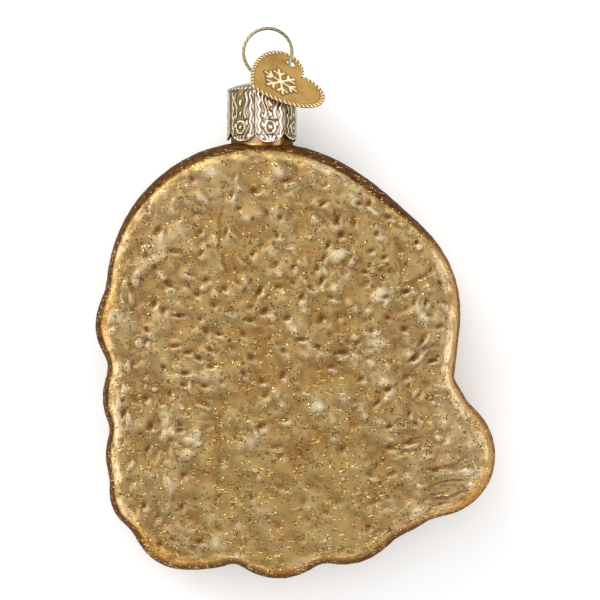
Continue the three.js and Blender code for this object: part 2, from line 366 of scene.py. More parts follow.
class Wiring:
    """Adds nodes to one node tree and joins them."""

    def __init__(self, tree: Tree) -> None:
        """Keeps the tree that the nodes go into."""
        self.tree = tree

    def node(self, kind: str, **settings: object) -> Node:
        """A new node of a kind, with its properties set."""
        node = self.tree.nodes.new(kind)
        for name, value in settings.items():
            setattr(node, name, value)
        return node

    def feed(self, socket: Socket, value: object) -> None:
        """Joins a socket to an output, or sets its value."""
        if isinstance(value, Socket):
            self.tree.links.new(value, socket)
        elif isinstance(value, tuple) and socket.type == "RGBA":
            socket.default_value = (*value, 1)
        else:
            socket.default_value = value

    def fill(self, node: Node, **inputs: object) -> Node:
        """Feeds a node's inputs, each named with _ for a space."""
        for name, value in inputs.items():
            self.feed(node.inputs[name.replace("_", " ")], value)
        return node

    def maths(self, operation: str, first: object, second: object) -> Socket:
        """One step of arithmetic on two numbers."""
        node = self.node("ShaderNodeMath", operation=operation)
        self.feed(node.inputs[0], first)
        self.feed(node.inputs[1], second)
        return node.outputs[0]

    def plus(self, first: object, second: object) -> Socket:
        """The sum of two numbers."""
        return self.maths("ADD", first, second)

    def minus(self, first: object, second: object) -> Socket:
        """The first number less the second."""
        return self.maths("SUBTRACT", first, second)

    def times(self, first: object, second: object) -> Socket:
        """The product of two numbers."""
        return self.maths("MULTIPLY", first, second)

    def larger(self, first: object, second: object) -> Socket:
        """The larger of two numbers."""
        return self.maths("MAXIMUM", first, second)

    def remap(self, value: object, low: object, high: object, start: object = 0.0,
              end: object = 1.0) -> Socket:
        """A smooth step from start to end as value goes from low to high."""
        node = self.node("ShaderNodeMapRange", interpolation_type="SMOOTHSTEP")
        for socket, given in zip(node.inputs, (value, low, high, start, end)):
            self.feed(socket, given)
        return node.outputs[0]

    def blend(self, share: object, first: object, second: object) -> Socket:
        """A mix of two colours, by the sockets of the mix that hold colours."""
        node = self.node("ShaderNodeMix", data_type="RGBA")
        for place, given in ((0, share), (6, first), (7, second)):
            self.feed(node.inputs[place], given)
        return node.outputs[2]

    def noise(self, where: object, scale: object, detail: float = 2.0,
              roughness: float = 0.5, distortion: float = 0.0) -> Socket:
        """Smooth noise around one half, in swells of one over scale."""
        node = self.fill(self.node("ShaderNodeTexNoise"), Vector=where, Scale=scale,
                         Detail=detail, Roughness=roughness, Distortion=distortion)
        return node.outputs["Fac"]

    def attribute(self, name: str, colour: bool = False) -> Socket:
        """A value or a colour that the mesh carries for each vertex."""
        node = self.node("ShaderNodeAttribute", attribute_name=name)
        return node.outputs["Color" if colour else "Fac"]

    def place(self) -> Socket:
        """The surface's own place, in the frame's metres."""
        return self.node("ShaderNodeTexCoord").outputs["Object"]

    def group(self, tree: Tree, **inputs: object) -> Node:
        """A group placed in this tree, with its inputs fed."""
        return self.fill(self.node("ShaderNodeGroup", node_tree=tree), **inputs)

    def bump(self, height: object, distance: float, strength: float) -> Socket:
        """A normal from a height of 0 to 1, which stands for that many metres."""
        node = self.fill(self.node("ShaderNodeBump"), Height=height, Distance=distance,
                         Strength=strength)
        return node.outputs["Normal"]


SOCKET_KINDS = dict.fromkeys(("Base", "Warm", "Pale", "Color"), "NodeSocketColor")
SOCKET_KINDS["Where"] = "NodeSocketVector"


def new_group(name: str, inputs: Sequence[str], outputs: Sequence[str]
              ) -> tuple[Wiring, list[Socket], Node]:
    """An empty node group. A socket is a number where its name has no other kind.

    Args:
        name: The group's name.
        inputs, outputs: Its sockets' names.

    Returns:
        The wiring of its tree, the input sockets in order, and the output node.
    """
    tree = bpy.data.node_groups.new(name, "ShaderNodeTree")
    for way, sockets in (("INPUT", inputs), ("OUTPUT", outputs)):
        for socket in sockets:
            kind = SOCKET_KINDS.get(socket, "NodeSocketFloat")
            tree.interface.new_socket(socket, in_out=way, socket_type=kind)
    wiring = Wiring(tree)
    entry = wiring.node("NodeGroupInput")
    given = [entry.outputs[socket] for socket in inputs]
    return wiring, given, wiring.node("NodeGroupOutput")


class Effects:
    """The node groups that several materials share, each built once."""

    def __init__(self) -> None:
        """Builds every group."""
        self.mottle = self._mottle()
        self.toast = self._toast()
        self.pebble = self._pebble()
        self.wear = self._wear()

    @staticmethod
    def _mottle() -> Tree:
        """Cloudy patches of three colours, with a fine grain over them."""
        w, (where, scale, base, warm, pale, grain), out = new_group(
            "cloudy_mottle", ("Where", "Scale", "Base", "Warm", "Pale", "Grain"), ("Color",))
        warm_share = w.remap(w.noise(where, scale, 3, 0.55, 0.4), 0.42, 0.7)
        pale_share = w.remap(w.noise(where, w.times(scale, 1.6), 2, 0.5, 0.3), 0.45, 0.75)
        colour = w.blend(pale_share, w.blend(warm_share, base, warm), pale)
        speck = w.minus(w.noise(where, w.times(scale, 16), 2), 0.5)
        shade = w.fill(w.node("ShaderNodeHueSaturation"), Color=colour,
                       Value=w.plus(w.times(speck, grain), 1))
        w.fill(out, Color=shade.outputs["Color"])
        return w.tree

    @staticmethod
    def _toast() -> Tree:
        """A band of colour along an edge, whose inner border wanders."""
        w, (where, depth, width, blur, wander), out = new_group(
            "edge_toast", ("Where", "Depth", "Width", "Blur", "Wander"), ("Mask",))
        drift = w.times(w.minus(w.noise(where, 160, 3), 0.5), wander)
        mask = w.remap(w.plus(depth, drift), width, w.plus(width, blur), 1.0, 0.0)
        w.fill(out, Mask=mask)
        return w.tree

    @staticmethod
    def _pebble() -> Tree:
        """Shallow pebbles with small sharp pits between them."""
        w, (where, scale, pits), out = new_group(
            "fine_pebble", ("Where", "Scale", "Pits"), ("Height", "Pit"))
        swell = w.noise(where, scale, 3, 0.55, 0.5)
        wavy = w.minus(w.noise(where, w.times(pits, 5.0), 2), 0.5)
        spots = w.fill(w.node("ShaderNodeTexVoronoi"), Vector=where, Scale=pits)
        far = w.plus(spots.outputs["Distance"], w.times(wavy, 0.22))
        pit = w.remap(far, 0.05, 0.17, 1.0, 0.0)
        w.fill(out, Height=w.plus(w.times(swell, 0.4), w.times(pit, -0.8)), Pit=pit)
        return w.tree

    @staticmethod
    def _wear() -> Tree:
        """Rubbed metal: a cloudy mask, a roughness around a middle, and fine scratches."""
        w, (where, scale, roughness, spread), out = new_group(
            "rubbed_metal", ("Where", "Scale", "Roughness", "Spread"),
            ("Mask", "Roughness", "Scratch"))
        cloud = w.noise(where, scale, 4, 0.6)
        swing = w.times(w.minus(cloud, 0.5), spread)
        drawn = w.fill(w.node("ShaderNodeMapping"), Vector=where, Scale=(1, 0.08, 1),
                       Rotation=(0, 0, 0.6))
        w.fill(out, Mask=w.remap(cloud, 0.42, 0.64), Roughness=w.plus(roughness, swing),
               Scratch=w.noise(drawn.outputs["Vector"], w.times(scale, 22), 2))
        return w.tree


def new_material(name: str) -> tuple[Material, Wiring, Node]:
    """An empty material with a Principled shader.

    Args:
        name: The material's name.

    Returns:
        The material, its wiring and its shader node.
    """
    material = bpy.data.materials.new(name)
    material.use_nodes = True
    wiring = Wiring(material.node_tree)
    return material, wiring, material.node_tree.nodes["Principled BSDF"]


@dataclass(frozen=True)
class LacqueredGlass:
    """Champagne-gold lacquer over pebbled glass, browner in its dents and at its rim.

    The dents' brown is pooled lacquer with painted shade over it. The colours also paint
    shade between the swells, highlight on them, and the rim's bright band as a highlight.

    The reaches are millimetres from the outline between which a colour comes or goes.
    The shares say how much of a colour is laid over the one below it.
    """

    base: Colour = rgb(152, 125, 76)
    warm: Colour = rgb(153, 119, 68)
    pale: Colour = rgb(160, 137, 92)
    # Lacquer pooled in the dents, darkened further as painted shade.
    dent_orange: Colour = rgb(114, 58, 2)
    dent_olive: Colour = rgb(78, 54, 6)
    # Painted shade between the swells, and painted highlight on them.
    hollow: Colour = rgb(134, 92, 36)
    crest: Colour = rgb(222, 206, 172)
    # Painted shade on the rim's inner slope, then the rim's bright band, a painted highlight,
    # in three tints.
    shoulder: Colour = rgb(146, 106, 54)
    band: Colour = rgb(216, 192, 150)
    band_gold: Colour = rgb(200, 174, 114)
    amber: Colour = rgb(206, 150, 72)
    rim: Colour = rgb(62, 32, 6)
    rim_gold: Colour = rgb(166, 112, 44)
    sheen: Colour = (1.0, 0.74, 0.42)
    shoulder_reach: Pair = (2.1, 3.1)
    band_rise: Pair = (1.2, 1.65)
    band_fall: Pair = (2.3, 3.3)
    bare_edge: Pair = (0.05, 0.5)
    bronze_reach: Pair = (0.3, 0.9)
    amber_reach: Pair = (0.6, 1.4)
    hollow_share: float = 0.5
    crest_share: float = 0.64
    pit_share: float = 0.7
    least_bronze: float = 0.14
    toast_width: float = 1.05
    toast_blur: float = 0.62
    metal: float = 0.62
    coat: float = 0.16
    roughness: float = 0.42
    relief: float = 0.00024

    def material(self, effects: Effects) -> Material:
        """The node material, which reads what the mesh carries for each vertex.

        Those are edge, the distance from the outline in millimetres as the lacquer
        counts it, and dent, warmth, crest, hollow, amber, faded, gilt and bronze, from
        0 to 1. Crest and hollow place painted highlight and painted shade; amber, faded
        and gilt shape the rim's bright band, a painted highlight, and bronze lets it into
        the brown beside it.

        Args:
            effects: The shared node groups.

        Returns:
            The material.
        """
        material, w, shader = new_material("lacquered_glass")
        where, edge, dent = w.place(), w.attribute("edge"), w.attribute("dent")
        inner = w.remap(edge, *self.shoulder_reach)
        pebble = w.group(effects.pebble, Where=where, Scale=700.0, Pits=300.0)
        toast = w.group(effects.toast, Where=where, Depth=edge, Width=self.toast_width,
                        Blur=self.toast_blur, Wander=0.9).outputs["Mask"]
        # The band is a painted highlight, and the shoulder colour inside it is painted shade.
        band = self._band_colour(w, where)
        plate = w.blend(inner, self.shoulder, self._plate_colour(w, where, effects))
        plate = w.blend(self._band_share(w, where, edge), plate, band)
        # Dents, creases and fine pits brown the plate: pooled lacquer with painted shade.
        dent_colour = w.blend(w.attribute("warmth"), self.dent_olive, self.dent_orange)
        pit = w.times(w.times(pebble.outputs["Pit"], inner), self.pit_share)
        plate = w.blend(pit, w.blend(dent, plate, dent_colour), dent_colour)
        brown = self._brown_colour(w, where, edge, band)
        plain = w.times(w.minus(1.0, toast), w.remap(dent, 0.0, 1.0, 1.0, 0.3))
        wear = w.group(effects.wear, Where=where, Scale=90.0, Roughness=self.roughness,
                       Spread=0.2)
        height = w.times(pebble.outputs["Height"], inner)
        w.fill(shader, Base_Color=w.blend(toast, plate, brown),
               Metallic=w.times(plain, self.metal), Coat_Weight=w.times(plain, self.coat),
               Roughness=w.plus(wear.outputs["Roughness"], w.times(toast, 0.2)),
               Normal=w.bump(height, self.relief, 0.9), Specular_IOR_Level=0.05,
               Coat_Roughness=0.32, Specular_Tint=self.sheen)
        return material

    def _plate_colour(self, w: Wiring, where: Socket, effects: Effects) -> Socket:
        """The pebbled plate: mottled gold, with painted shade between the swells and painted
        highlight on them.
        """
        mottle = w.group(effects.mottle, Where=where, Scale=190.0, Base=self.base,
                         Warm=self.warm, Pale=self.pale, Grain=0.24)
        sunk = w.blend(w.times(w.attribute("hollow"), self.hollow_share),
                       mottle.outputs["Color"], self.hollow)
        return w.blend(w.times(w.attribute("crest"), self.crest_share), sunk, self.crest)

    def _band_colour(self, w: Wiring, where: Socket) -> Socket:
        """The rim's bright band, a painted highlight: champagne, gold in patches, and amber in
        places.
        """
        golden = w.times(w.remap(w.noise(where, 140.0, 2), 0.34, 0.54),
                         w.remap(w.attribute("gilt"), 0.0, 1.0, 0.2, 1.0))
        gold = w.blend(golden, self.band, self.band_gold)
        return w.blend(w.attribute("amber"), gold, self.amber)

    def _band_share(self, w: Wiring, where: Socket, edge: Socket) -> Socket:
        """How bright the painted highlight band is: patchy, and only between its rise and its
        fall.
        """
        patches = w.remap(w.noise(where, 330.0, 3, 0.6), 0.38, 0.58, 0.2, 1.0)
        share = w.times(patches, w.remap(edge, *self.band_rise))
        share = w.times(share, w.remap(edge, *self.band_fall, 1.0, 0.0))
        return w.times(share, w.minus(1.0, w.attribute("faded")))

    def _brown_colour(self, w: Wiring, where: Socket, edge: Socket, band: Socket) -> Socket:
        """The rim's brown, which lets gold and the painted highlight band through where it is
        bronze.
        """
        bronze = w.attribute("bronze")
        patchy = w.times(w.remap(w.noise(where, 900.0, 3, 0.6), 0.36, 0.64, 0.0, 0.9),
                         w.remap(edge, *self.bare_edge, 0.35, 1.0))
        patchy = w.times(patchy, w.remap(bronze, 0.0, 1.0, 0.3, 0.8))
        inward = w.times(bronze, w.remap(edge, *self.bronze_reach, 0.0, 0.75))
        patchy = w.larger(w.larger(patchy, inward), w.times(bronze, self.least_bronze))
        paler = w.times(bronze, w.remap(edge, *self.amber_reach, 0.0, 0.6))
        return w.blend(paler, w.blend(patchy, self.rim, self.rim_gold), band)


@dataclass(frozen=True)
class Glitter:
    """Metal flakes whose colour comes from the mesh."""

    name: str
    roughness: float
    metallic: float
    specular: float = 0.5
    worn: Colour = (1.0, 0.9, 0.6)

    def material(self) -> Material:
        """The node material, which reads the colour tint of the mesh."""
        material, w, shader = new_material(self.name)
        cloud = w.noise(w.place(), 9000.0, 1)
        pale = w.remap(cloud, 0.3, 0.9, 0.0, 0.5 * self.metallic)
        w.fill(shader, Base_Color=w.blend(pale, w.attribute("tint", colour=True), self.worn),
               Roughness=self.roughness, Metallic=self.metallic,
               Specular_IOR_Level=self.specular)
        return material


@dataclass(frozen=True)
class PlatedMetal:
    """Thin plated metal: painted shade in its hollows, plain on its ground, and a painted
    highlight on its ridges.

    Attributes:
        scale: How many clouds of wear there are in a metre.
        scratch: The depth of the scratches, in metres.
    """

    name: str
    bright: Colour
    ground: Colour
    hollow: Colour
    # Both the cloudy stains and the painted panel shade.
    stain_and_shade: Colour
    scale: float
    roughness: float
    scratch: float

    def material(self, effects: Effects) -> Material:
        """The node material, which reads the mesh's raised value and its painted panel shade.

        Args:
            effects: The shared node groups.

        Returns:
            The material.
        """
        material, w, shader = new_material(self.name)
        wear = w.group(effects.wear, Where=w.place(), Scale=self.scale,
                       Roughness=self.roughness, Spread=0.2)
        raised, tarnish = w.attribute("raised"), w.attribute("tarnish")
        # Painted shade in the pattern's hollows.
        metal = w.blend(w.remap(raised, 0.0, 0.3), self.hollow, self.ground)
        metal = w.blend(w.times(wear.outputs["Mask"], 0.3), metal, self.stain_and_shade)
        # Painted shade over whole panels of the cap.
        metal = w.blend(w.times(tarnish, 0.92), metal, self.stain_and_shade)
        # Painted highlight on the raised pattern, weaker under the panel shade.
        ridge_highlight = w.times(w.remap(raised, 0.55, 0.95), w.remap(tarnish, 0.0, 1.0, 1.0, 0.6))
        w.fill(shader, Base_Color=w.blend(ridge_highlight, metal, self.bright), Metallic=1.0,
               Roughness=wear.outputs["Roughness"],
               Normal=w.bump(wear.outputs["Scratch"], self.scratch, 0.5))
        return material


@dataclass(frozen=True)
class Paper:
    """The plain pale floor that the ornament lies on."""

    colour: Colour = (0.94, 0.94, 0.94)
    cloud: float = 0.985
    glow: float = 0.1

    def material(self) -> Material:
        """The node material: matt, with the faintest cloud in its white."""
        material, w, shader = new_material("floor_paper")
        shade = tuple(self.cloud * value for value in self.colour)
        cloudy = w.blend(w.noise(w.place(), 6.0, 2), self.colour, shade)
        w.fill(shader, Base_Color=cloudy, Roughness=0.9, Emission_Color=(1.0, 1.0, 1.0),
               Emission_Strength=self.glow)
        return material


# ---- the glass body


@dataclass(frozen=True)
class Crease:
    """A narrow furrow or fold pressed in the glass, along a line of given points."""

    line: tuple[Pair, ...]
    width: float
    depth: float


@dataclass(frozen=True)
class Swelling:
    """A raised oval: its middle, half-lengths, turn in degrees and height."""

    x: float
    y: float
    along: float
    across: float
    turn: float
    height: float

    def near(self, x: Array, y: Array, reach: float) -> Array:
        """Which points lie in a square round its middle."""
        return (abs(x - self.x) < reach) & (abs(y - self.y) < reach)

    def squared(self, x: Array, y: Array) -> Array:
        """The squared distance from its middle, in its half-lengths."""
        return oval(x, y, (self.x, self.y), self.along, self.across, np.radians(self.turn))


def oval(x: Array, y: Array, centre: Pair, along: float, across: float,
         turn: float) -> Array:
    """The squared distance from an oval's middle, in its own half-lengths."""
    c, s = np.cos(turn), np.sin(turn)
    dx, dy = x - centre[0], y - centre[1]
    return ((dx * c + dy * s) / along) ** 2 + ((dy * c - dx * s) / across) ** 2


@dataclass
class Outline:
    """The outline of the biscuit: a soft union of round lobes, as in the solid.

    Attributes:
        offset: From the lobes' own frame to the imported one.
        blend: How far the lobes melt into each other.
        hub: The point that the rays leave from.
        rays: How many rays the outline is found on.
        inset: How far the glass stays inside the solid's outline.
        rim_width: How deep the rounded rim reaches in.
        lobes: Each lobe's middle and radius.
    """

    offset: Pair
    blend: float = 0.8
    hub: Pair = (-2.3, -9.4)
    rays: int = 720
    inset: float = 0.14
    rim_width: float = 4.8
    lobes: tuple[Point, ...] = (
        (-8, 2.4, 29.2), (-3, 4, 25.9), (5, 5, 20.2), (9.4, -2, 22.7),
        (16, -11, 15), (-5.5, -14, 31), (-29.5, -4.5, 9.9),
        (-28, -18.7, 9.9), (-27.5, -29.7, 9.9), (-29.3, -37.4, 7.3),
        (-22, -42, 10.2), (-17, -42, 9.9), (-3.5, -42, 12),
        (9, -39, 12.3), (17.5, -34, 11.7), (26.8, -29.8, 12.1),
        (27, -20, 5.8),
    )
    angles: Array = field(init=False)
    edge: Array = field(init=False)
    rim: Array = field(init=False)
    spans: Array = field(init=False)

    def __post_init__(self) -> None:
        """Finds the outline, and the inner border of its rim, along every ray."""
        self.angles = circle(self.rays)
        self.edge = self._bisect(lambda x, y: self._field(x, y) < -self.inset, 0, 60)
        x, y = self._along(self.edge)
        next_x, next_y = np.roll(x, -1), np.roll(y, -1)
        lengths = np.hypot(next_x - x, next_y - y)
        self.spans = np.stack([(x + next_x) / 2, (y + next_y) / 2, lengths])
        self.rim = self._bisect(lambda x, y: self._depth(x, y) > self.rim_width, 0,
                                self.edge - 0.5)

    def _along(self, radius: Array) -> tuple[Array, Array]:
        """Points on the rays at those radii, in the lobes' own frame."""
        return (self.hub[0] + radius * np.cos(self.angles),
                self.hub[1] + radius * np.sin(self.angles))

    def _field(self, x: Array, y: Array) -> Array:
        """Below zero inside the lobes: minus the log of the sum of their falling powers."""
        total = sum(np.exp((radius - np.hypot(x - lobe_x, y - lobe_y)) / self.blend)
                    for lobe_x, lobe_y, radius in self.lobes)
        return -self.blend * np.log(total)

    def _bisect(self, inside: Callable, low: float, high: object) -> Array:
        """The radius on each ray where a test turns false."""
        low = np.full(self.rays, float(low))
        high = np.broadcast_to(np.asarray(high, float), low.shape).copy()
        for _ in range(30):
            middle = (low + high) / 2
            kept = inside(*self._along(middle))
            low, high = np.where(kept, middle, low), np.where(kept, high, middle)
        return low

    def _depth(self, x: Array, y: Array) -> Array:
        """A smooth distance to the outline: the power mean of those to its spans."""
        total = np.zeros(np.shape(x))
        for span_x, span_y, length in self.spans.T:
            squared = (x - span_x) ** 2 + (y - span_y) ** 2
            total += length / (squared + 1e-4) ** 3
        return (8 * total / (3 * np.pi)) ** -0.2

    def depth(self, x: Array, y: Array) -> Array:
        """The smooth distance to the outline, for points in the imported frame."""
        return self._depth(x - self.offset[0], y - self.offset[1])

    def ray(self, angle: Array) -> tuple[Array, Array]:
        """The outline's radius and the rim's inner radius at each angle."""
        return (np.interp(angle, self.angles, self.edge, period=TURN),
                np.interp(angle, self.angles, self.rim, period=TURN))

    def place(self, angle: Array, radius: Array) -> tuple[Array, Array]:
        """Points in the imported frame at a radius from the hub."""
        return (self.hub[0] + self.offset[0] + radius * np.cos(angle),
                self.hub[1] + self.offset[1] + radius * np.sin(angle))


# The lower left and upper right corners of the plate's box.
PLATE = ((-39, -54), (39, 31))


class Zone(Enum):
    """Parts of the plate where something differs.

    Each value is a direction, across and up, and the distances along it from the
    frame's middle, in millimetres, where the part begins and where it is full.
    """

    BROAD_TOP = (0, 1, 8, 23)
    BROAD_FOOT = (0, -1, 36, 46)
    BROAD_LEFT = (-1, 0, 34, 38)
    BROAD_RIGHT = (1, 0, 31, 36)
    OUTER_LEFT = (-1, 0, 28, 34)
    BELOW = (0, -1, 8, 14)
    ABOVE = (0, 1, 4, 18)
    LEFT = (-1, 0, 12, 24)
    RIGHT = (1, 0, 8, 24)
    FOOT = (0, -1, 24, 36)
    BOLD_RIGHT = (1, 0, 22, 30)
    # Where the painted highlight on the swells is stronger.
    PALE_RIGHT = (1, 0, 24, 32)
    PALE_TOP = (0, 1, 8, 22)
    WARM_LEFT = (-1, 0, -5, 25)
    # The gilt parts gild the rim's painted highlight band; the bronze parts let gold and that
    # band through the rim's brown.
    GILT_TOP = (0, 1, 0, 14)
    GILT_FOOT = (0, -1, 40, 48)
    BRONZE_RIGHT = (1, 0, 16, 30)
    BRONZE_FOOT = (0, -1, 40, 50)

    def __call__(self, x: Array, y: Array) -> Array:
        """How far each point lies in the part, by a smooth step from 0 to 1."""
        across, up, low, high = self.value
        return smoothstep(across * x + up * y, low, high)


@dataclass
class Relief:
    """What is pressed in the glass: swells, pebbles, seeded dents, and named creases.

    Attributes:
        seed: The random seed of the noise and the dents.
        dents, pebbles: How many of each are tried over the whole plate.
        start, full: The distances from the outline where the relief begins and is full.
        step: How far the pebbled field lies below the smooth rim.
        broad_top to broad_right: How much further in everything starts there.
        boldness: How many times its own height the relief has at the plate's middle.
        bold_aside, bold_right, calm_foot: What that gains or loses in those parts.
        wobble: How uneven the rim is.
        broaden: How much wider the dents are than their own numbers say.
        ceiling: What a height bends towards, as its hyperbolic tangent.
        lift: What share of the bent height is kept.
        creases, swellings, pits: The forms that have their own place.
        ambers, fades: Where the rim's painted highlight band turns amber, or hardly shows.
    """

    seed: int
    dents: int = 340
    pebbles: int = 640
    start: float = 1.8
    full: float = 3.1
    step: float = 0.12
    broad_top: float = 0.8
    broad_foot: float = 0.55
    broad_left: float = 0.3
    broad_lower_left: float = 0.45
    broad_right: float = 0.35
    boldness: float = 1.55
    bold_aside: float = 0.45
    bold_right: float = 0.35
    calm_foot: float = 0.75
    wobble: float = 0.06
    broaden: float = 1.15
    ceiling: float = 0.8
    lift: float = 0.96
    creases: tuple[Crease, ...] = ()
    swellings: tuple[Swelling, ...] = ()
    pits: tuple[Swelling, ...] = ()
    ambers: tuple[Swelling, ...] = ()
    fades: tuple[Swelling, ...] = ()

    def sample(self, x: Array, y: Array, depth: Array) -> tuple[Array, dict[str, Array]]:
        """The relief at some points.

        Args:
            x, y: The points.
            depth: Their distances from the outline.

        Returns:
            The height in millimetres, and by name what the lacquer reads: edge, the
            depth as it counts it, and each from 0 to 1, how much of a dent a point is,
            how high it lies on a swell or how low between swells, which the lacquer paints
            as highlight and as shade, and the tones.
        """
        depth = self._counted(x, y, depth)
        weight = smoothstep(depth, self.start, self.full)
        aside = np.maximum(Zone.LEFT(x, y), Zone.RIGHT(x, y))
        calm = Zone.FOOT(x, y) * (1 - aside)
        bold = (self.boldness + self.bold_aside * aside - self.calm_foot * calm
                + self.bold_right * Zone.BOLD_RIGHT(x, y))
        ovals = self._ovals(x, y)
        height = bold * (self._ground(x, y) + ovals)
        # Painted highlight on the swells' tops and named ovals, more at the sides, and painted
        # shade between the swells.
        crest = 0.88 * smoothstep(height, 0.16, 0.85) + 0.09 * aside
        crest += 0.2 * Zone.PALE_RIGHT(x, y) + 0.08 * Zone.PALE_TOP(x, y)
        crest = np.maximum(crest, 0.8 * smoothstep(ovals, 0.12, 0.4))
        hollow = smoothstep(-height, -0.02, 0.36)
        # Dents and creases brown the lacquer with painted shade over pooled lacquer; lips are
        # painted highlight.
        pits, dent, lip = (value * (1 - 0.45 * calm) for value in self._dents(x, y))
        furrows, crease = self._creases(x, y)
        height += pits + furrows
        height = np.where(height > 0, self.ceiling * np.tanh(height / self.ceiling), height)
        height = (self.lift * height - self.step) * weight
        height += self.wobble * (1 - weight) * gradient_noise(x, y, (1.9, 1.9), self.seed)
        values = {"dent": np.maximum(dent, crease) * weight,
                  "crest": np.maximum(crest, lip) * weight, "hollow": hollow * weight,
                  **self._tones(x, y)}
        values = {name: np.clip(value, 0, 1) for name, value in values.items()}
        return height, {"edge": depth, **values}

    def _counted(self, x: Array, y: Array, depth: Array) -> Array:
        """The depth as the lacquer counts it: less where its brown or band is broad."""
        depth = depth - self.broad_top * Zone.BROAD_TOP(x, y)
        depth = (depth - self.broad_foot * Zone.BROAD_FOOT(x, y)
                 - self.broad_left * Zone.BROAD_LEFT(x, y))
        lower_left = Zone.OUTER_LEFT(x, y) * Zone.BELOW(x, y)
        depth = depth - self.broad_lower_left * lower_left * smoothstep(depth, 1.7, 2.5)
        right = self.broad_right * Zone.BROAD_RIGHT(x, y)
        return depth - right * smoothstep(depth, 0.5, 1.5)

    def _tones(self, x: Array, y: Array) -> dict[str, Array]:
        """What colours the lacquer by place.

        Args:
            x, y: The points.

        Returns:
            By name: how warm a dent is there, from olive to orange, how golden the rim's
            bright band, a painted highlight, is, how much gold shows in the brown outside it,
            and how amber or how faded that band is.
        """
        warmth = 0.6 + 0.9 * gradient_noise(x, y, (5.0, 5.0), self.seed + 9)
        warmth += 0.25 * Zone.WARM_LEFT(x, y)
        bronze = Zone.BRONZE_RIGHT(x, y) * (1 - Zone.ABOVE(x, y))
        tones = {"warmth": warmth,
                 "gilt": Zone.GILT_TOP(x, y) + Zone.GILT_FOOT(x, y),
                 "bronze": bronze + 0.45 * Zone.BRONZE_FOOT(x, y)}
        for name, spots in (("amber", self.ambers), ("faded", self.fades)):
            tones[name] = sum((spot.height * np.exp(-spot.squared(x, y)) for spot in spots),
                              np.zeros(x.shape))
        return tones

    def _ground(self, x: Array, y: Array) -> Array:
        """Swells and pebbles: upright ovals at the left, level ones at lower right.

        A pebble is an exponential of the squared oval distance to the power 1.5, and of
        all pebbles the highest counts at each point, which leaves creases between them.

        Args:
            x, y: The points.

        Returns:
            The heights in millimetres.
        """
        seed = self.seed
        swell = 0.28 * gradient_noise(x, y, (7.5, 7.5), seed)
        swell += 0.28 * gradient_noise(x, y, (3.8, 3.8), seed + 1)
        small = 0.03 * gradient_noise(x, y, (1.5, 1.5), seed + 5)
        pebbles = np.zeros(x.shape)
        rng = np.random.default_rng(seed + 6)
        for _ in range(self.pebbles):
            cx, cy = rng.uniform(*PLATE)
            along, across = rng.uniform(0.9, 1.8), rng.uniform(0.75, 1.35)
            spread, rise = rng.uniform(-1, 1), rng.uniform(0.08, 0.4)
            turn = spread * np.pi / 2
            if cx < -24:
                turn, across = 1.5 + 0.35 * spread, 0.75 * across
            elif cx - 0.6 * cy > 34:
                turn, across = 0.3 + 0.4 * spread, 0.75 * across
            near = (abs(x - cx) < 3.6) & (abs(y - cy) < 3.6)
            q = oval(x[near], y[near], (cx, cy), along, across, turn)
            pebbles[near] = np.maximum(pebbles[near], rise * np.exp(-q**1.5))
        return swell + small + pebbles - 0.1

    def _ovals(self, x: Array, y: Array) -> Array:
        """Smooth round-topped ovals that have their own place, each in a shallow moat.

        The top is an exponential of the fourth power of the oval distance, and the moat
        one of the squared distance from a ring around it.
        """
        height = np.zeros(x.shape)
        for bump in self.swellings:
            near = bump.near(x, y, 3 * bump.along)
            q = bump.squared(x[near], y[near])
            moat = bell(np.sqrt(q) - 1.45, 0.3)
            height[near] += bump.height * (np.exp(-q**2) - 0.25 * moat)
        return height

    def _scattered(self) -> list[Swelling]:
        """Seeded dents, none of them near one that has its own place."""
        rng = np.random.default_rng(self.seed + 7)
        dents = []
        for _ in range(self.dents):
            x, y = rng.uniform(*PLATE)
            along, across = rng.uniform(0.45, 1.0), rng.uniform(0.34, 0.52)
            lean, depth = rng.normal(-30, 40), 0.14 + 0.42 * rng.uniform(0, 1) ** 1.4
            lean += 100 if x < -26 else (45 if x - 0.6 * y > 34 else 0)
            folded = bool(self.pits) and x - 0.6 * y > 41
            clear = all(np.hypot(x - pit.x, y - pit.y) > 2.1 for pit in self.pits)
            if clear and not folded:
                dents.append(Swelling(x, y, along, across, lean, depth))
        return dents

    def _dents(self, x: Array, y: Array) -> tuple[Array, Array, Array]:
        """Short dents, each with a low lip on its lower side that is painted pale as a
        highlight.

        A dent is a falling exponential of the squared oval distance, and its lip the
        same one moved down by one and a half half-widths.

        Args:
            x, y: The points.

        Returns:
            The heights, how much of a dent each point is, which browns as pooled lacquer
            with painted shade, and how much of a lip, which is painted as highlight.
        """
        height, mask, pale = np.zeros((3, *x.shape))
        for pit in [*self.pits, *self._scattered()]:
            near = pit.near(x, y, 3.5)
            turn = np.radians(pit.turn)
            along, across = self.broaden * pit.along, self.broaden * pit.across
            q = oval(x[near], y[near], (pit.x, pit.y), along, across, turn)
            centre = (pit.x + 0.9 * across, pit.y - 1.5 * across)
            lip = oval(x[near], y[near], centre, 1.2 * along, 1.2 * across, turn)
            height[near] += pit.height * (0.5 * np.exp(-lip) - 1.1 * np.exp(-q))
            strength = min(1.0, pit.height / 0.4) ** 1.5
            mask[near] = np.maximum(mask[near], strength * np.exp(-1.2 * q**1.2))
            pale[near] = np.maximum(pale[near], 0.8 * strength * np.exp(-1.5 * lip**1.3))
        return height, mask, pale * (1 - mask)

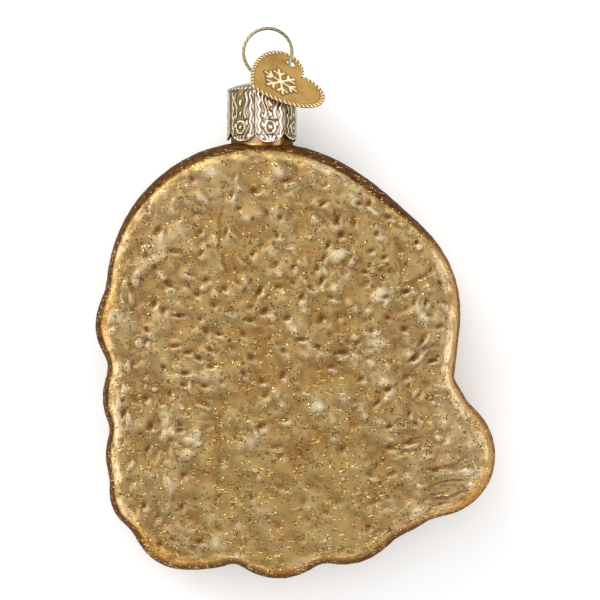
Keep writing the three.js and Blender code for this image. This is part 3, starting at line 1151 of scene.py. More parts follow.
    def _creases(self, x: Array, y: Array) -> tuple[Array, Array]:
        """The creases: a furrow that falls off as an exponential of squared distance, browned
        with painted shade.
        """
        height, mask = np.zeros(x.shape), np.zeros(x.shape)
        for crease in self.creases:
            line = dense_line(crease.line, 0.12)
            low, high = line.min(axis=0) - 2, line.max(axis=0) + 2
            near = (x > low[0]) & (x < high[0]) & (y > low[1]) & (y < high[1])
            far = near_strokes(x[near], y[near], [line]) / crease.width
            below = near_strokes(x[near], y[near] + 1.7 * crease.width, [line])
            lip = bell(below, crease.width)
            height[near] += crease.depth * (0.4 * lip - np.exp(-(far**2)))
            mask[near] = np.maximum(mask[near], 0.6 * np.exp(-1.6 * far**2))
        return height, mask


# The back's own forms, placed one by one in millimetres. A crease's row is its line, width
# and depth, and a swelling's is its middle, half-lengths, turn and height.
BACK_CREASES = tuple(Crease(*row) for row in (
    (((-14, 17.8), (-14.7, 15.6), (-14.3, 13), (-14.9, 10.2)), 0.46, 0.22),
    (((-13.9, 9.4), (-13.6, 7.4), (-13.2, 5.9)), 0.41, 0.22),
    (((-9.3, 8.4), (-8.6, 6.6), (-7.6, 6.2)), 0.46, 0.26),
    (((-9.9, 2), (-9.2, 3.4), (-8.3, 4.5)), 0.41, 0.17),
    (((21.1, 3.5), (23, 4), (25.2, 5.3)), 0.38, 0.29),
    (((15.6, 6.3), (17.2, 5.9), (18.4, 6.2)), 0.43, 0.26),
    (((19.6, 15), (20.7, 14.5), (21.8, 14.9)), 0.41, 0.26),
    (((20.3, 3.9), (20.4, 6.8), (20.1, 8.2)), 0.35, 0.14),
    (((19.2, 12.3), (19.7, 11), (20.3, 9.9)), 0.41, 0.26),
    (((24.6, -9), (26.6, -8.4), (27.4, -8.2)), 0.35, 0.22),
    (((26.8, -32.2), (28.6, -31.7), (30.4, -31.5), (32.4, -30.2)), 0.27, 0.44),
    (((25.6, -35.6), (28, -34.6), (30.5, -34.2), (32, -34.3)), 0.24, 0.38),
    (((24.6, -38.1), (27, -37.5), (29.5, -37.8), (32.6, -36.6)), 0.27, 0.44),
    (((26.4, -39.3), (28.6, -38.9), (30.6, -38.6)), 0.24, 0.28),
    (((20.4, -29), (22.4, -28), (23.6, -28.5)), 0.38, 0.26),
    (((-36.3, -13.6), (-34.3, -13.9)), 0.41, 0.26),
    (((-33.9, -24.3), (-36.2, -24.1)), 0.41, 0.20),
    (((-33.6, -1), (-33.9, 2.6), (-33.1, 5)), 0.41, 0.20),
    (((-31.6, -2.5), (-31, 0.6), (-31.9, 3.2)), 0.41, 0.19),
))

BACK_SWELLINGS = tuple(Swelling(*row) for row in (
    (8.2, 9, 2, 1.2, 40, 0.5), (10.8, 7.4, 1.7, 0.6, 50, 0.36),
    (23.7, 10.6, 0.75, 0.75, 0, 0.45), (9.3, 11.9, 0.8, 0.5, 40, 0.3),
    (33, -32.3, 1.1, 0.85, -8, 0.42), (34.2, -35.2, 0.8, 0.6, 20, 0.34),
    (27.6, -36.3, 2.2, 0.5, 8, 0.16), (27.4, -25.9, 0.8, 0.9, 0, 0.3),
    (-30.6, 4.4, 0.75, 1.8, 0, 0.42), (-31.3, 0.6, 0.7, 1.5, 5, 0.36),
    (-25.4, 4.9, 0.6, 0.9, 20, 0.4), (-33.3, 0.2, 0.55, 1.7, 8, 0.36),
    (-35.2, -5.6, 1, 0.6, 50, 0.4), (-30, -7.8, 0.9, 1.2, 15, 0.4),
    (-27.4, -6.9, 0.9, 0.5, -20, 0.3), (-27, -16.7, 0.7, 0.6, 0, 0.5),
    (-32.2, -12.2, 0.6, 1.7, 3, 0.36), (-33, -16.4, 0.5, 1.2, 0, 0.3),
    (-32, -22.4, 0.65, 1.5, 0, 0.4), (-26.9, -24.6, 0.8, 0.6, 10, 0.36),
    (-31.4, -31.3, 1.3, 0.5, 60, 0.36), (-25.1, -20, 0.9, 0.6, 10, 0.3),
    (-28.7, -14.8, 0.8, 0.6, 0, 0.26), (-20.2, -16.2, 0.45, 1.2, 0, 0.3),
    (-18.7, -27.2, 1.3, 0.4, 20, 0.3), (-17.4, 2.8, 0.9, 0.6, 40, 0.34),
    (-0.8, 22.4, 1.5, 0.6, 32, 0.34), (3.6, 15.9, 0.8, 1.1, 0, 0.34),
    (3.1, 12.6, 1, 0.7, 10, 0.3), (15, 17.3, 1.6, 0.5, -50, 0.34),
    (16.5, 12.4, 0.7, 0.5, 40, 0.4), (-0.7, 10.3, 1.1, 0.5, 15, 0.3),
    (-3.1, 5.4, 1, 0.6, 20, 0.36), (-6.2, 1.3, 0.8, 0.5, 40, 0.36),
    (1.6, 0, 0.9, 0.55, 60, 0.34), (-4.3, -3, 0.7, 1, 0, 0.36),
    (8, 0, 0.9, 0.6, 20, 0.3), (17.4, -0.3, 0.9, 0.4, 60, 0.36),
    (5.8, 5.8, 0.5, 0.9, 0, 0.3), (14, -2, 1.5, 0.6, 55, 0.3),
    (11.5, -6.8, 0.8, 0.7, 20, 0.34), (15.5, -6, 0.9, 0.5, 45, 0.34),
    (9.1, -10.8, 1.1, 0.5, 30, 0.34), (7.4, -13.3, 0.9, 0.6, 0, 0.3),
    (24.2, -10.4, 2, 0.5, 52, 0.4), (18, -17.9, 1.8, 0.6, 50, 0.42),
    (23.1, -17.4, 1.4, 0.5, 50, 0.34), (17.9, -12.4, 0.5, 0.9, 0, 0.3),
    (24.1, -23.2, 0.6, 0.8, 0, 0.3), (22.6, -27.7, 1.4, 0.5, 40, 0.42),
    (25.4, -29.6, 0.6, 0.5, 0, 0.36), (24.1, -35.3, 0.9, 0.45, 10, 0.36),
    (19.5, -23.9, 0.9, 0.7, 0, 0.26), (13.3, -21.8, 0.7, 1, 0, 0.22),
    (7.5, -26.4, 1.3, 0.5, 25, 0.26), (15.6, -34.2, 1.3, 0.45, 10, 0.26),
))

BACK_PITS = tuple(Swelling(*row) for row in (
    (-11.6, 24.4, 0.8, 0.35, 75, 0.26), (-13.6, 22.2, 0.8, 0.35, 10, 0.26),
    (-7.9, 21.4, 0.7, 0.4, -10, 0.5), (-12.3, 20.6, 0.8, 0.35, 70, 0.4),
    (-1.8, 23.4, 0.9, 0.4, 10, 0.4), (-13.3, 13.6, 0.9, 0.35, 80, 0.4),
    (-8.2, 9.3, 0.6, 0.4, 60, 0.4), (-0.4, 6.8, 0.5, 0.45, 0, 0.4),
    (4.1, 6.5, 0.6, 0.5, 80, 0.6), (5, 4.1, 0.7, 0.35, 70, 0.45),
    (6.3, 11, 0.7, 0.4, 60, 0.5), (8.7, 13, 0.6, 0.45, 20, 0.55),
    (8, 15.8, 0.9, 0.45, 70, 0.5), (5.3, 19, 0.7, 0.35, 30, 0.45),
    (5.7, 22.6, 0.6, 0.4, 30, 0.35), (12.2, 19, 0.7, 0.35, 0, 0.45),
    (14.3, 19.3, 0.7, 0.35, 90, 0.4), (18.2, 16.5, 1.1, 0.4, -10, 0.5),
    (15.6, 13.2, 0.5, 0.45, 45, 0.6), (13.4, 5.8, 0.8, 0.35, -10, 0.4),
    (14.5, 9.9, 0.6, 0.35, 0, 0.4), (17, 8.6, 0.6, 0.35, 20, 0.4),
    (17.3, 1.1, 0.7, 0.35, 10, 0.5), (17.6, -2.9, 0.6, 0.4, -20, 0.45),
    (6.7, 1, 0.6, 0.35, 0, 0.35), (5, -3.2, 0.7, 0.45, 90, 0.45),
    (1.2, 1.1, 0.9, 0.35, 50, 0.4), (-0.5, 3.8, 0.7, 0.4, -30, 0.45),
    (-3.4, 3, 0.7, 0.35, -20, 0.4), (-1.6, -2.9, 0.5, 0.45, 0, 0.5),
    (-5.9, -1.7, 0.8, 0.45, 15, 0.5), (-6.9, 2.1, 0.9, 0.3, 55, 0.45),
    (-8.7, -0.9, 0.9, 0.35, 0, 0.35), (-12.5, -1.6, 0.8, 0.45, -40, 0.35),
    (-13.6, 2.6, 0.7, 0.4, -35, 0.5), (-11.1, 3.8, 0.9, 0.35, -35, 0.4),
    (-24.1, 3.4, 0.9, 0.42, -25, 0.6), (-19, 1.5, 0.7, 0.4, -40, 0.55),
    (-17.1, 4.3, 0.6, 0.4, -10, 0.45), (-15.6, -0.5, 0.8, 0.4, -50, 0.5),
    (-18.3, -3.2, 0.45, 0.45, 0, 0.55), (-28.4, -5.4, 0.7, 0.42, -20, 0.6),
    (-18.1, 9.5, 0.6, 0.45, 50, 0.45), (-27, 6.7, 0.45, 0.6, 0, 0.45),
    (-23.3, 9.8, 1.2, 0.35, -15, 0.4), (-20.4, 5.4, 1, 0.35, -10, 0.4),
    (-14.7, -6.1, 0.7, 0.35, -30, 0.4), (-10.1, -6.1, 0.8, 0.35, -50, 0.4),
    (-22.5, -2.5, 1.2, 0.3, -5, 0.4), (-28.7, 9.2, 0.4, 0.8, 0, 0.4),
    (-23.3, -8.4, 1.1, 0.35, 5, 0.45), (-16.4, -9, 0.9, 0.4, -45, 0.5),
    (-12.6, -8.9, 0.8, 0.5, 0, 0.3), (-18.5, -10.7, 0.8, 0.4, -30, 0.6),
    (-20.7, -9.6, 0.8, 0.38, 0, 0.45), (-16.2, -12.3, 0.7, 0.35, 0, 0.45),
    (-25.4, -12.5, 0.8, 0.4, -45, 0.4), (-21.1, -13.6, 0.8, 0.38, 0, 0.5),
    (-21.5, -15.8, 0.7, 0.35, -15, 0.45), (-17.5, -16, 1, 0.4, -15, 0.45),
    (-10, -13.6, 0.8, 0.38, -50, 0.55), (-8.6, -10.5, 0.7, 0.42, -45, 0.55),
    (-6.4, -15.2, 0.7, 0.42, 0, 0.5), (-5.8, -17.9, 0.6, 0.4, 0, 0.4),
    (-17.5, -19.4, 1.3, 0.42, -25, 0.6), (-24.1, -17.6, 0.8, 0.4, 80, 0.3),
    (-30.8, -18.7, 1.2, 0.32, -50, 0.35), (-33.2, -21.5, 0.9, 0.35, 70, 0.35),
    (-27.8, -23.8, 0.7, 0.42, 70, 0.5), (-23.8, -26.2, 0.7, 0.55, 0, 0.35),
    (-28.5, -28.3, 0.9, 0.4, 60, 0.4), (-21.5, -33.2, 0.55, 0.42, 0, 0.45),
    (-29.1, -39, 0.55, 0.48, 0, 0.5), (-2, -22.5, 0.8, 0.4, 10, 0.4),
    (-4.1, -27.7, 0.9, 0.35, 0, 0.35), (-2.7, -29.3, 0.55, 0.5, 0, 0.4),
    (1.1, -29.3, 1.5, 0.42, -60, 0.5), (4.3, -8.6, 1.1, 0.4, -30, 0.5),
    (1.2, -7.1, 1.3, 0.35, 0, 0.35), (9.1, -9.6, 1.4, 0.32, 3, 0.45),
    (6.8, -12.3, 0.8, 0.35, 20, 0.4), (12.7, -14.6, 0.7, 0.42, 0, 0.4),
    (20.9, -5.1, 0.6, 0.42, -20, 0.55), (14.5, -5.3, 0.6, 0.42, 0, 0.35),
    (26, 6.3, 0.6, 0.42, 60, 0.45), (28.2, 3.8, 0.8, 0.35, -40, 0.45),
    (25.1, 0, 0.6, 0.4, 80, 0.55), (22.8, 0, 0.7, 0.35, 85, 0.4),
    (27.6, -4.6, 0.8, 0.42, 20, 0.5), (24.3, -7.4, 1.4, 0.4, 58, 0.5),
    (22.5, -10.8, 1, 0.4, 40, 0.5), (26.4, -11.2, 1, 0.32, 10, 0.5),
    (17.7, -16.7, 0.7, 0.45, 0, 0.6), (15.6, -19.2, 0.9, 0.35, 45, 0.45),
    (21.8, -21.3, 0.5, 0.42, 90, 0.5), (23, -23.3, 0.6, 0.42, 0, 0.4),
    (17.9, -23.9, 0.7, 0.32, 10, 0.4), (21.8, -26.9, 1, 0.32, 20, 0.5),
    (14.3, -33.1, 0.9, 0.38, -30, 0.4), (18.4, -32.9, 0.8, 0.35, 10, 0.5),
    (14.8, -38.5, 1.2, 0.35, 15, 0.4), (26.7, -32.3, 1, 0.42, 0, 0.35),
))

# Where the rim's painted highlight band turns amber.
BACK_AMBERS = (
    Swelling(-38, -2, 11, 4, 85, 0.9),
    Swelling(-24, -49.5, 8, 4, -35, 0.8),
    Swelling(-31, -45, 5, 3, -55, 0.6),
    Swelling(-4, -53, 10, 3, 0, 0.5),
    Swelling(34.5, -38, 6, 4, 50, 0.9),
    Swelling(30, 13, 4, 3, -50, 0.5),
)

# Where the rim's painted highlight band hardly shows.
BACK_FADES = (
    Swelling(4, -54, 15, 4, 0, 1),
    Swelling(24, -43, 9, 4, 20, 0.7),
)


@dataclass
class GlassBody:
    """The biscuit itself: a rounded rim round a low crowned back and a lower face.

    Attributes:
        offset: From the solid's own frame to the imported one.
        middle: The height of the rim's widest line.
        rim_height: How far the rim rises on either side of it.
        rim_power: How squared-off the rim's section is; 2 is a plain ellipse.
        neck_x: Where the neck stands on the solid's own top edge.
        back_crown: How much more the back rises in its middle.
        face_crown: The same for the face, which the ornament lies on.
        rests_at: The lowest that any point of the face reaches.
        flat_share: Out to this share of the rim the face is flat.
        back_cells, face_cells: Cells along the two sides' grids.
        back_rings, face_rings: Rings of faces beyond them, down the rim.
        field_share: The share of a grid that lies inside the rim's inner border.
        roll_from: Where on the rim's quarter turn the grid gives way to rings.
    """

    offset: Pair
    middle: float = 11.2
    rim_height: float = 9.4
    rim_power: float = 2.6
    neck_x: float = -6.8
    back_crown: float = 1.26
    face_crown: float = 1.2
    rests_at: float = 0.06
    flat_share: float = 0.45
    back_cells: int = 240
    face_cells: int = 120
    back_rings: int = 12
    face_rings: int = 9
    field_share: float = 0.885
    roll_from: float = 53.0
    outline: Outline = field(init=False)

    def __post_init__(self) -> None:
        """Finds the outline."""
        self.outline = Outline(self.offset)

    def _crown(self, share: Array, side: Side) -> Array:
        """How far a side rises above its rim, at a share of the rim's inner radius.

        The back is the square of one less the squared share. The face is a smooth
        step that is full inside its flat share.
        """
        if side is Side.BACK:
            return self.back_crown * (1 - share**2) ** 2
        return self.face_crown * smoothstep(1 - share, 0, 1 - self.flat_share)

    def _layer(self, sheet: Sheet, side: Side, relief: Relief, last: float
               ) -> tuple[Array, dict[str, Array]]:
        """The vertices of one side.

        Inside the rim a point is a share of the rim's inner radius from the hub. On the
        rim it is on a quarter of a squared-off ellipse, whose cosine and sine are raised
        to 2 over its power, and the relief lifts it along the section's own normal.

        Args:
            sheet: The grid and its rings.
            side: Which side it is.
            relief: What is pressed in it.
            last: The angle on the quarter turn where the last ring lies, in degrees.

        Returns:
            The places, and the values that the material reads.
        """
        share = np.minimum(sheet.reach / self.field_share, 1)
        roll = plain_share(sheet.reach, self.field_share, 1)
        below = np.clip(sheet.reach - 1, 0, 1)
        turn = np.radians(90 + (self.roll_from - 90) * roll
                          + (last - self.roll_from) * below)
        edge, rim = self.outline.ray(sheet.angle)
        power = self._power(sheet.angle, edge)
        cosine, sine = np.maximum(np.cos(turn), 0), np.sin(turn)
        out, up = cosine ** (2 / power), sine ** (2 / power)
        radius = np.where(share < 1, rim * share, rim + (edge - rim) * out)
        x, y = self.outline.place(sheet.angle, radius)
        depth = self.outline.depth(x, y)
        height, values = relief.sample(x, y, depth)
        out_x = cosine ** (2 - 2 / power) / self.outline.rim_width
        out_y = sine ** (2 - 2 / power) / self.rim_height
        length = np.hypot(out_x, out_y)
        outwards = height * out_x / length
        x = x + outwards * np.cos(sheet.angle)
        y = y + outwards * np.sin(sheet.angle)
        rise = self.rim_height * up + self._crown(share, side)
        z = self.middle + side.value * (rise + height * out_y / length)
        return np.stack([x, y, np.maximum(z, self.rests_at)], axis=1), values

    def _power(self, angle: Array, edge: Array) -> Array:
        """The rim's power along each ray, which falls to 2 behind the neck."""
        aside = abs(self.outline.hub[0] + edge * np.cos(angle) - self.neck_x)
        near = np.where(np.sin(angle) > 0, 1 - smoothstep(aside, 6, 12), 0)
        return self.rim_power + (2 - self.rim_power) * near

    def build(self) -> Piece:
        """One closed mesh: the back's fine grid, the face's coarser one, and between
        them a ring of five-sided faces that takes two fine edges for each coarse one.

        Returns:
            The object.
        """
        back = Sheet.disc(self.back_cells, self.back_rings)
        face = Sheet.disc(self.face_cells, self.face_rings)
        gap = self.roll_from / (self.face_rings + 1)
        back_relief = Relief(41, creases=BACK_CREASES, swellings=BACK_SWELLINGS,
                             pits=BACK_PITS, ambers=BACK_AMBERS, fades=BACK_FADES)
        top, top_values = self._layer(back, Side.BACK, back_relief, 0)
        low, low_values = self._layer(face, Side.FACE, Relief(83), gap)
        start = len(top)
        fine, coarse = back.border, face.border + start
        seam = np.stack([fine[::2], coarse, np.roll(coarse, -1), np.roll(fine[::2], -1),
                         fine[1::2]], axis=1)
        faces = [back.faces, face.faces[:, ::-1] + start, seam]
        values = {name: np.concatenate([given, low_values[name]])
                  for name, given in top_values.items()}
        return make_piece("glass_shell", np.concatenate([top, low]), faces, **values)


@dataclass
class GlassNeck:
    """The open neck that stands on the body's top edge, under the cap.

    Attributes:
        axis_x, axis_z: Where its axis lies, which runs along +Y.
        offset_y: From the solid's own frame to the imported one.
        profile: Heights along the axis and radii, from inside the body round the lip
            to the floor of the bore.
    """

    axis_x: float
    axis_z: float
    offset_y: float
    profile: tuple[Pair, ...] = (
        (25.2, 7.9), (27.2, 7.65), (28.7, 7.05), (29.8, 6.35), (30.6, 6.05), (40.7, 6.05),
        (40.95, 5.8), (40.95, 4.5), (40.7, 4.25), (33.2, 4.25),
    )
    columns: int = 120
    lit: Pair = (-0.24, 0.26)
    glint: Pair = (0.5, 0.14)

    def build(self) -> Piece:
        """The profile spun about the axis, closed by a fan at each end.

        The two highlights are bells of the angle round the axis: where each lies, and
        how wide it is.

        Returns:
            The object.
        """
        height, radius = dense_line(self.profile, 0.25).T
        turn = circle(self.columns)
        rings = np.empty((len(height), self.columns, 3))
        swell = 0.05 * gradient_noise(np.cos(turn) * 4, height[:, None] * 1.0, (2.5, 2.5), 5)
        wide = radius[:, None] + swell
        rings[..., 0] = self.axis_x + wide * np.sin(turn)
        rings[..., 1] = self.offset_y + height[:, None]
        rings[..., 2] = self.axis_z + wide * np.cos(turn)
        vertices, faces = tube(rings, wraps=False)
        rise = plain_share(vertices[:, 1] - self.offset_y, 28.6, 31.0)
        around = np.arctan2(vertices[:, 0] - self.axis_x, vertices[:, 2] - self.axis_z)
        lit, glint = (bell(around - at, width) for at, width in (self.lit, self.glint))
        lit = rise * np.maximum(lit, 0.8 * glint)
        none = np.zeros(len(vertices))
        # The two highlights are painted: they lift the counted edge into the lacquer's painted
        # highlight band, and keep amber and fading off it.
        return make_piece(
            "glass_neck", vertices, faces, edge=1.0 + 0.2 * rise + 1.1 * lit, dent=none,
            warmth=none, crest=none, hollow=none, bronze=0.05 + 0.5 * bell(around, 0.5),
            gilt=none + 0.4, amber=1 - 0.9 * lit, faded=0.3 * (1 - lit))


# ---- glitter


@dataclass
class FlakeKind:
    """One kind of glitter.

    Attributes:
        seed: The random seed of its places, turns and colours.
        count: Flakes on each side of the glass.
        length, width: Least and greatest half-sizes.
        colours: What a flake's colour is drawn from.
        tilt: How far flakes lean from the surface, in degrees.
        level: Whether the long way lies along X.
        low_bias, rim_bias: How much thicker it lies low on the plate and at the rim.
    """

    name: str
    seed: int
    count: int
    length: Pair
    width: Pair
    finish: Glitter
    colours: tuple[Colour, ...]
    corners: int = 4
    tilt: float = 6
    level: bool = False
    low_bias: float = 0.1
    rim_bias: float = 0.0
    thickness: float = 0.035


class GlitterCoat:
    """Scatters flakes over the glass, as joined prisms of true size."""

    def __init__(self, glass: Piece) -> None:
        """Reads the triangles of the glass.

        Args:
            glass: The finished mesh of the glass body.
        """
        mesh = glass.data
        mesh.calc_loop_triangles()
        self.corners = read_rows(mesh.loop_triangles, "vertices", 3, np.int32)
        self.places = read_rows(mesh.vertices, "co", 3, np.float32).astype(float) / MM
        self.edge = read_rows(mesh.attributes["edge"].data, "value", 1, np.float32)[:, 0]
        a, b, c = (self.places[self.corners[:, k]] for k in range(3))
        cross = np.cross(b - a, c - a)
        size = np.linalg.norm(cross, axis=1)
        self.normals = cross / np.maximum(size, 1e-12)[:, None]
        self.areas = size / 2
        self.centres = (a + b + c) / 3

    def _choose(self, kind: FlakeKind, rng: np.random.Generator) -> tuple[Array, Array]:
        """Draws triangles by area and by how the glitter clusters, and points in them.

        Args:
            kind: The kind of glitter.
            rng: Where the random numbers come from.

        Returns:
            The points, and the normals there.
        """
        x, y = self.centres[:, 0], self.centres[:, 1]
        clump = 0.4 + 0.7 * gradient_noise(x, y, (5.0, 4.0), kind.seed)
        clump += 1.3 * gradient_noise(x, y, (1.5, 1.5), 300)
        depth = self.edge[self.corners].mean(axis=1)
        chance = self.areas * np.clip(clump, 0.08, 1.6)
        chance *= 1 + kind.low_bias * smoothstep(-y, 5, 30)
        chance *= 1 + kind.rim_bias * smoothstep(-depth, -3.0, -0.6)
        chance *= 0.08 + 0.92 * abs(self.normals[:, 2])
        chosen = rng.choice(len(chance), 2 * kind.count, p=chance / chance.sum())
        first, second = rng.random((2, len(chosen)))
        fold = first + second > 1
        first, second = np.where(fold, 1 - first, first), np.where(fold, 1 - second, second)
        a, b, c = (self.places[self.corners[chosen, k]] for k in range(3))
        points = a + (b - a) * first[:, None] + (c - a) * second[:, None]
        return points, self.normals[chosen]

    def scatter(self, kind: FlakeKind) -> Piece:
        """One piece with all flakes of a kind.

        Args:
            kind: The kind.

        Returns:
            The object.
        """
        rng = np.random.default_rng(kind.seed)
        points, normals = self._choose(kind, rng)
        count = len(points)
        spin = rng.normal(0, 0.12, count) if kind.level else rng.uniform(0, TURN, count)
        sway = np.clip(rng.normal(0, 0.6, (count, 3)), -0.9, 0.9)
        normals = normals + np.tan(np.radians(kind.tilt)) * sway
        normals /= np.linalg.norm(normals, axis=1)[:, None]
        flat = np.cross(np.array([0.0, 1.0, 0.0]), normals)
        flat /= np.linalg.norm(flat, axis=1)[:, None]
        upright = np.cross(normals, flat)
        c, s = np.cos(spin)[:, None], np.sin(spin)[:, None]
        along, across = flat * c + upright * s, upright * c - flat * s
        turns = TURN * (np.arange(kind.corners) + 0.5) / kind.corners
        length = rng.uniform(*kind.length, count)[:, None, None]
        width = rng.uniform(*kind.width, count)[:, None, None]
        ring = (along[:, None] * length * np.cos(turns)[None, :, None]
                + across[:, None] * width * np.sin(turns)[None, :, None])
        lift = normals[:, None] * kind.thickness
        middle = points[:, None] + ring
        layers = np.concatenate([middle - lift * 0.4, middle + lift * 0.6], axis=1)
        base = (np.arange(count) * 2 * kind.corners)[:, None]
        step = np.arange(kind.corners)
        after = np.roll(step, -1)
        bottom, top = base + step, base + kind.corners + step
        sides = np.stack([bottom, base + after, base + kind.corners + after, top], axis=2)
        faces = [np.concatenate([top, bottom[:, ::-1]]), sides.reshape(-1, 4)]
        shades = np.array(kind.colours)[rng.integers(0, len(kind.colours), count)]
        shades = np.clip(shades * rng.uniform(0.75, 1.15, (count, 1)), 0, 1)
        tint = np.repeat(np.insert(shades, 3, 1, axis=1), 2 * kind.corners, axis=0)
        return make_piece(kind.name, layers.reshape(-1, 3), faces, smooth=False, tint=tint)


# ---- the cap


@dataclass
class StampedCap:
    """The cap: a thin stamped cup with seven tabs, embossed with scrolls and pearls.

    Attributes:
        axis_x, axis_z: Where its axis lies, which runs along +Y.
        offset_y: From the solid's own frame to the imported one.
        radius: The metal's outer radius where it isn't raised.
        raise_height: How far the pattern stands out.
        ground: What share of that the plain ground stands at.
        wall: The metal's thickness.
        top, bottom: Where the top's edge and the hem's lowest point lie along the axis.
        crown, shoulder: The rise of the top's middle, and the radius of its edge.
        saddle: How much higher the hem lies at the sides than in front and behind.
        notch_depth: How high the notches reach between the tabs.
        first_seam: Where a seam between two tabs lies round the axis, in degrees.
        band_up, band_beads: The height of the beaded band, and its beads in each tab.
        leg_hole, leg_spread, lean: As the hanger's legs need them.
        top_share: The share of the rings that goes over the shoulder.
    """

    axis_x: float
    axis_z: float
    offset_y: float
    radius: float = 6.72
    raise_height: float = 0.21
    ground: float = 0.4
    wall: float = 0.24
    top: float = 41.9
    crown: float = 0.95
    shoulder: float = 0.65
    bottom: float = 30.74
    saddle: float = 0.95
    notch_depth: float = 1.7
    tabs: int = 7
    first_seam: float = -11.4
    seam_depth: float = 0.19
    band_up: float = 10.7
    band_beads: int = 7
    leg_hole: float = 0.7
    leg_spread: float = 1.7
    lean: float = 9.1
    cells: int = 96
    rings: int = 88
    top_share: float = 0.1

    @property
    def panel(self) -> float:
        """The width of one tab round the cap."""
        return TURN * self.radius / self.tabs

    def _strokes(self) -> list[Array]:
        """The lines of one panel's pattern: across from its left seam, up from its hem.

        A closed oval rings the low bud. The borders and the scrolls beside the upper
        buds are sines.
        """
        middle = 0.5 * self.panel
        turn = TURN * np.arange(90) / 90
        oval_ring = np.stack([middle + 1.0 * np.cos(turn), 3.15 + 1.2 * np.sin(turn)], 1)
        tall = np.linspace(1.9, 9.9, 120)
        left = np.stack([0.95 + 0.15 * np.sin(tall * TURN / 2.0), tall], axis=1)
        right = np.stack([self.panel - 0.72 + 0.16 * np.sin(tall * TURN / 2.5), tall], 1)
        up = np.linspace(4.9, 9.7, 80)
        wave = 0.3 * np.sin((up - 4.9) / 4.8 * TURN)
        scroll = np.stack([middle - 1.15 + wave, up], axis=1)
        twin = np.stack([middle + 1.2 - wave, up], axis=1)
        fans = [dense_line([(middle + dx, 0.45), (middle + 1.9 * dx, 1.35)], 0.08)
                for dx in (-0.45, 0.0, 0.45)]
        return [oval_ring, left, right, scroll, twin, *fans]

    def _emboss(self, across: Array, up: Array, hem: Array) -> Array:
        """How raised the skirt is: 0 in a hollow, the ground's share, 1 on the pattern.

        A stroke is a rounded ridge with a narrow hollow on both sides, and a pearl is a
        dome with a hollow ring.

        Args:
            across: Millimetres from the panel's left seam.
            up: Millimetres above the lowest point of the hem.
            hem: Millimetres above the hem itself.

        Returns:
            The height as a share of the raised height.
        """
        far = near_strokes(across, up, self._strokes())
        ridge, hollow = dome(far, 0.2) ** 0.8, bell(far - 0.34, 0.13)
        middle = 0.5 * self.panel
        pearls = ((self.panel - 1.05, 1.45, 0.46, 0.46), (1.5, 1.15, 0.34, 0.34),
                  (middle, 3.15, 0.36, 0.48), (middle, 5.75, 0.3, 0.62),
                  (middle, 7.9, 0.42, 0.8), (1.65, 3.5, 0.24, 0.6),
                  (self.panel - 1.6, 3.9, 0.24, 0.6), (1.6, 5.3, 0.2, 0.4),
                  (self.panel - 1.65, 8.9, 0.24, 0.3), (middle, 9.5, 0.26, 0.3))
        for x, y, half_width, half_height in pearls:
            q = np.sqrt(((across - x) / half_width) ** 2 + ((up - y) / half_height) ** 2)
            ridge = np.maximum(ridge, np.sqrt(dome(q, 1)))
            hollow = np.maximum(hollow, bell((q - 1.3) * half_width, 0.12))
        beads = abs(np.cos(across / self.panel * self.band_beads * np.pi))
        ridge = np.maximum(ridge, dome(up - self.band_up, 0.3) * beads**0.7)
        hollow = np.maximum(hollow, bell(up - self.band_up + 0.46, 0.11))
        ridge = np.maximum(ridge, 0.9 * dome(hem - 0.25, 0.2))
        hollow = np.maximum(hollow, bell(hem - 0.58, 0.1))
        return np.maximum(self.ground * (1 - hollow * (ridge < self.ground)), ridge)

    def build(self) -> Piece:
        """Two layers of one sheet, joined at the hem and round the two leg holes.

        Out to the disc's border the sheet is the domed top and the first part of the
        rounded shoulder; the rings carry on over the shoulder and down the skirt.

        Returns:
            The object.
        """
        sheet = Sheet.disc(self.cells, self.rings)
        share = sheet.angle / TURN * self.tabs
        share = share - 0.055 * np.sin(TURN * share)
        angle = np.radians(self.first_seam) + share / self.tabs * TURN
        in_tab = share % 1
        below = plain_share(sheet.reach, 1, 2)
        disc = np.minimum(sheet.reach, 1)
        notch = self.notch_depth * abs(2 * in_tab - 1) ** 2.6
        edge = self.bottom + notch + self.saddle * np.sin(angle) ** 2
        turn = plain_share(below, 0, self.top_share) * np.pi / 2
        down = plain_share(below, self.top_share, 1)
        start = self.top - self.shoulder
        up = start + (edge - start) * down
        across = in_tab * self.panel
        on_skirt = down > 0
        # The pattern's way up carries on along the shoulder's arc.
        along = np.where(on_skirt, up, start + self.shoulder * (np.pi / 2 - turn))
        stamped = turn > 0
        raised = np.full(len(up), self.ground)
        raised[stamped] = self._emboss(across[stamped], along[stamped] - self.bottom,
                                       (up - edge)[stamped])
        gap = np.minimum(across, self.panel - across)
        slit = bell(gap, 0.1) * smoothstep(-up, -40.7, -40.3)
        raised *= 1 - slit
        layers = []
        for inset, kept in ((0.0, 1.0), (self.wall, 0.6)):
            shoulder = self.shoulder - inset
            r = (self.radius - inset - shoulder) * disc + shoulder * np.sin(turn)
            y = np.where(on_skirt, up, self.top - inset - shoulder * (1 - np.cos(turn)))
            y = y + self.crown * (1 - disc**3.2)
            y = y + kept * self.raise_height * (raised - self.ground) * np.cos(turn)
            r = r + kept * self.raise_height * raised * np.where(
                on_skirt, 1, np.sin(turn) ** 0.5)
            r = r - slit * self.seam_depth * (1 if inset == 0 else 0.15)
            layers.append([r * np.sin(angle), y, r * np.cos(angle)])
        self._punch_holes(sheet, layers)
        outer, inner = (
            np.stack([self.axis_x + x, self.offset_y + y, self.axis_z + z], axis=1)
            for x, y, z in layers
        )
        # The sheet's angles run from +Z towards +X, which is clockwise from above the
        # top, so the outer layer is the one whose faces are turned over.
        vertices, faces, used = sheet.closed(inner, outer)
        aside = np.degrees((angle + np.pi) % TURN - np.pi)
